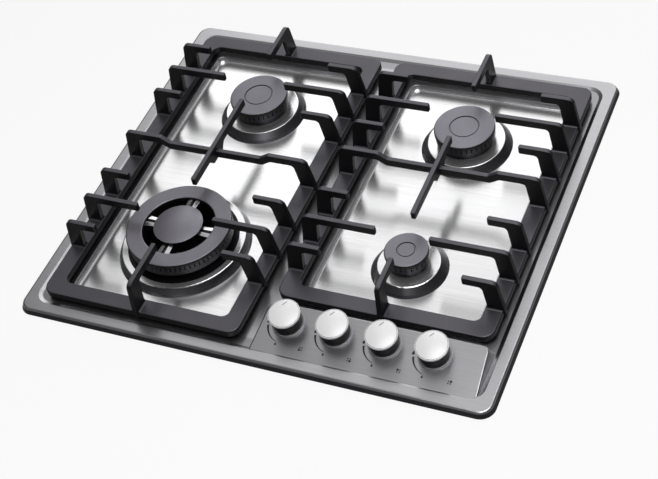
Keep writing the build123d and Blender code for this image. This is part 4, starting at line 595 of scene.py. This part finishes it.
def worktop_white(name):
    """White to the camera, and darker for what lights and mirrors in the object."""
    material, tree, shader = new_material(name)
    shader.inputs["Roughness"].default_value = WORKTOP_ROUGHNESS
    shader.inputs["Specular IOR Level"].default_value = 0.0
    path = tree.nodes.new("ShaderNodeLightPath")
    camera = path.outputs["Is Camera Ray"]
    tint = mix_colours(tree, camera, WORKTOP_BOUNCE, WORKTOP_COLOUR)
    tree.links.new(tint, shader.inputs["Base Color"])
    mirrored = combine(tree, "ADD", path.outputs["Is Glossy Ray"], path.outputs["Is Transmission Ray"])
    seen = combine(tree, "ADD", combine(tree, "MULTIPLY", camera, WORKTOP_WHITE),
                   combine(tree, "MULTIPLY", mirrored, WORKTOP_GLOSS))
    white = tree.nodes.new("ShaderNodeEmission")
    mix = tree.nodes.new("ShaderNodeMixShader")
    tree.links.new(seen, mix.inputs["Fac"])
    tree.links.new(shader.outputs["BSDF"], mix.inputs[1])
    tree.links.new(white.outputs["Emission"], mix.inputs[2])
    out = next(node for node in tree.nodes if node.type == "OUTPUT_MATERIAL")
    tree.links.new(mix.outputs["Shader"], out.inputs["Surface"])
    return material


def make_world():
    """A soft studio: a glow low behind the object, a grey ceiling, dark in front, white to the camera."""
    world = bpy.data.worlds.new("studio")
    bpy.context.scene.world = world
    world.use_nodes = True
    tree = world.node_tree
    tree.nodes.clear()
    coords = tree.nodes.new("ShaderNodeTexCoord")
    way = tree.nodes.new("ShaderNodeSeparateXYZ")
    tree.links.new(coords.outputs["Generated"], way.inputs["Vector"])
    glow = combine(tree, "MULTIPLY", ramp(tree, way.outputs["X"], *GLOW_LEFT, 0, GLOW),
                   ramp(tree, way.outputs["X"], *GLOW_RIGHT, 1, 0))
    glow = combine(tree, "MULTIPLY", glow, ramp(tree, way.outputs["Y"], *GLOW_FRONT, 0, 1))
    glow = combine(tree, "MULTIPLY", glow, ramp(tree, way.outputs["Z"], *GLOW_HIGH, 1, GLOW_HIGH_SHARE))
    ceiling = ramp(tree, way.outputs["Z"], *CEILING_RISE, UNLIT, CEILING)
    lamp = tree.nodes.new("ShaderNodeBackground")
    lamp.inputs["Color"].default_value = (1, 1, 1, 1)
    tree.links.new(combine(tree, "ADD", glow, ceiling), lamp.inputs["Strength"])
    white = tree.nodes.new("ShaderNodeBackground")
    white.inputs["Color"].default_value = (1, 1, 1, 1)
    white.inputs["Strength"].default_value = BACKGROUND
    path = tree.nodes.new("ShaderNodeLightPath")
    mix = tree.nodes.new("ShaderNodeMixShader")
    out = tree.nodes.new("ShaderNodeOutputWorld")
    tree.links.new(path.outputs["Is Camera Ray"], mix.inputs["Fac"])
    tree.links.new(lamp.outputs["Background"], mix.inputs[1])
    tree.links.new(white.outputs["Background"], mix.inputs[2])
    tree.links.new(mix.outputs["Shader"], out.inputs["Surface"])


def make_lamp():
    """One wide soft lamp overhead that looks at the origin."""
    data = bpy.data.lights.new("overhead_softbox", "AREA")
    data.shape = "RECTANGLE"
    data.size, data.size_y = OVERHEAD_SIZE
    data.energy = OVERHEAD_POWER
    lamp = bpy.data.objects.new("overhead_softbox", data)
    bpy.context.scene.collection.objects.link(lamp)
    lamp.location = OVERHEAD_PLACE
    lamp.rotation_euler = (-Vector(OVERHEAD_PLACE)).to_track_quat("-Z", "Y").to_euler()


def make_camera():
    """The photograph's viewpoint."""
    data = bpy.data.cameras.new("camera")
    data.lens = CAMERA_LENS
    data.sensor_width = SENSOR_WIDTH
    data.sensor_fit = "HORIZONTAL"
    camera = bpy.data.objects.new("camera", data)
    bpy.context.scene.collection.objects.link(camera)
    camera.location = CAMERA_PLACE
    camera.rotation_euler = [math.radians(angle) for angle in CAMERA_TURN]
    bpy.context.scene.camera = camera


make_camera()
make_world()
make_lamp()
make_floor()
finishes = make_materials()
finish_nodes(finishes)
make_panel_print(finishes["panel_ink"])
make_pointers(finishes["pointer_ink"])
make_saddles(finishes["polished_saddle"])
bpy.context.scene.view_settings.view_transform = "Standard"
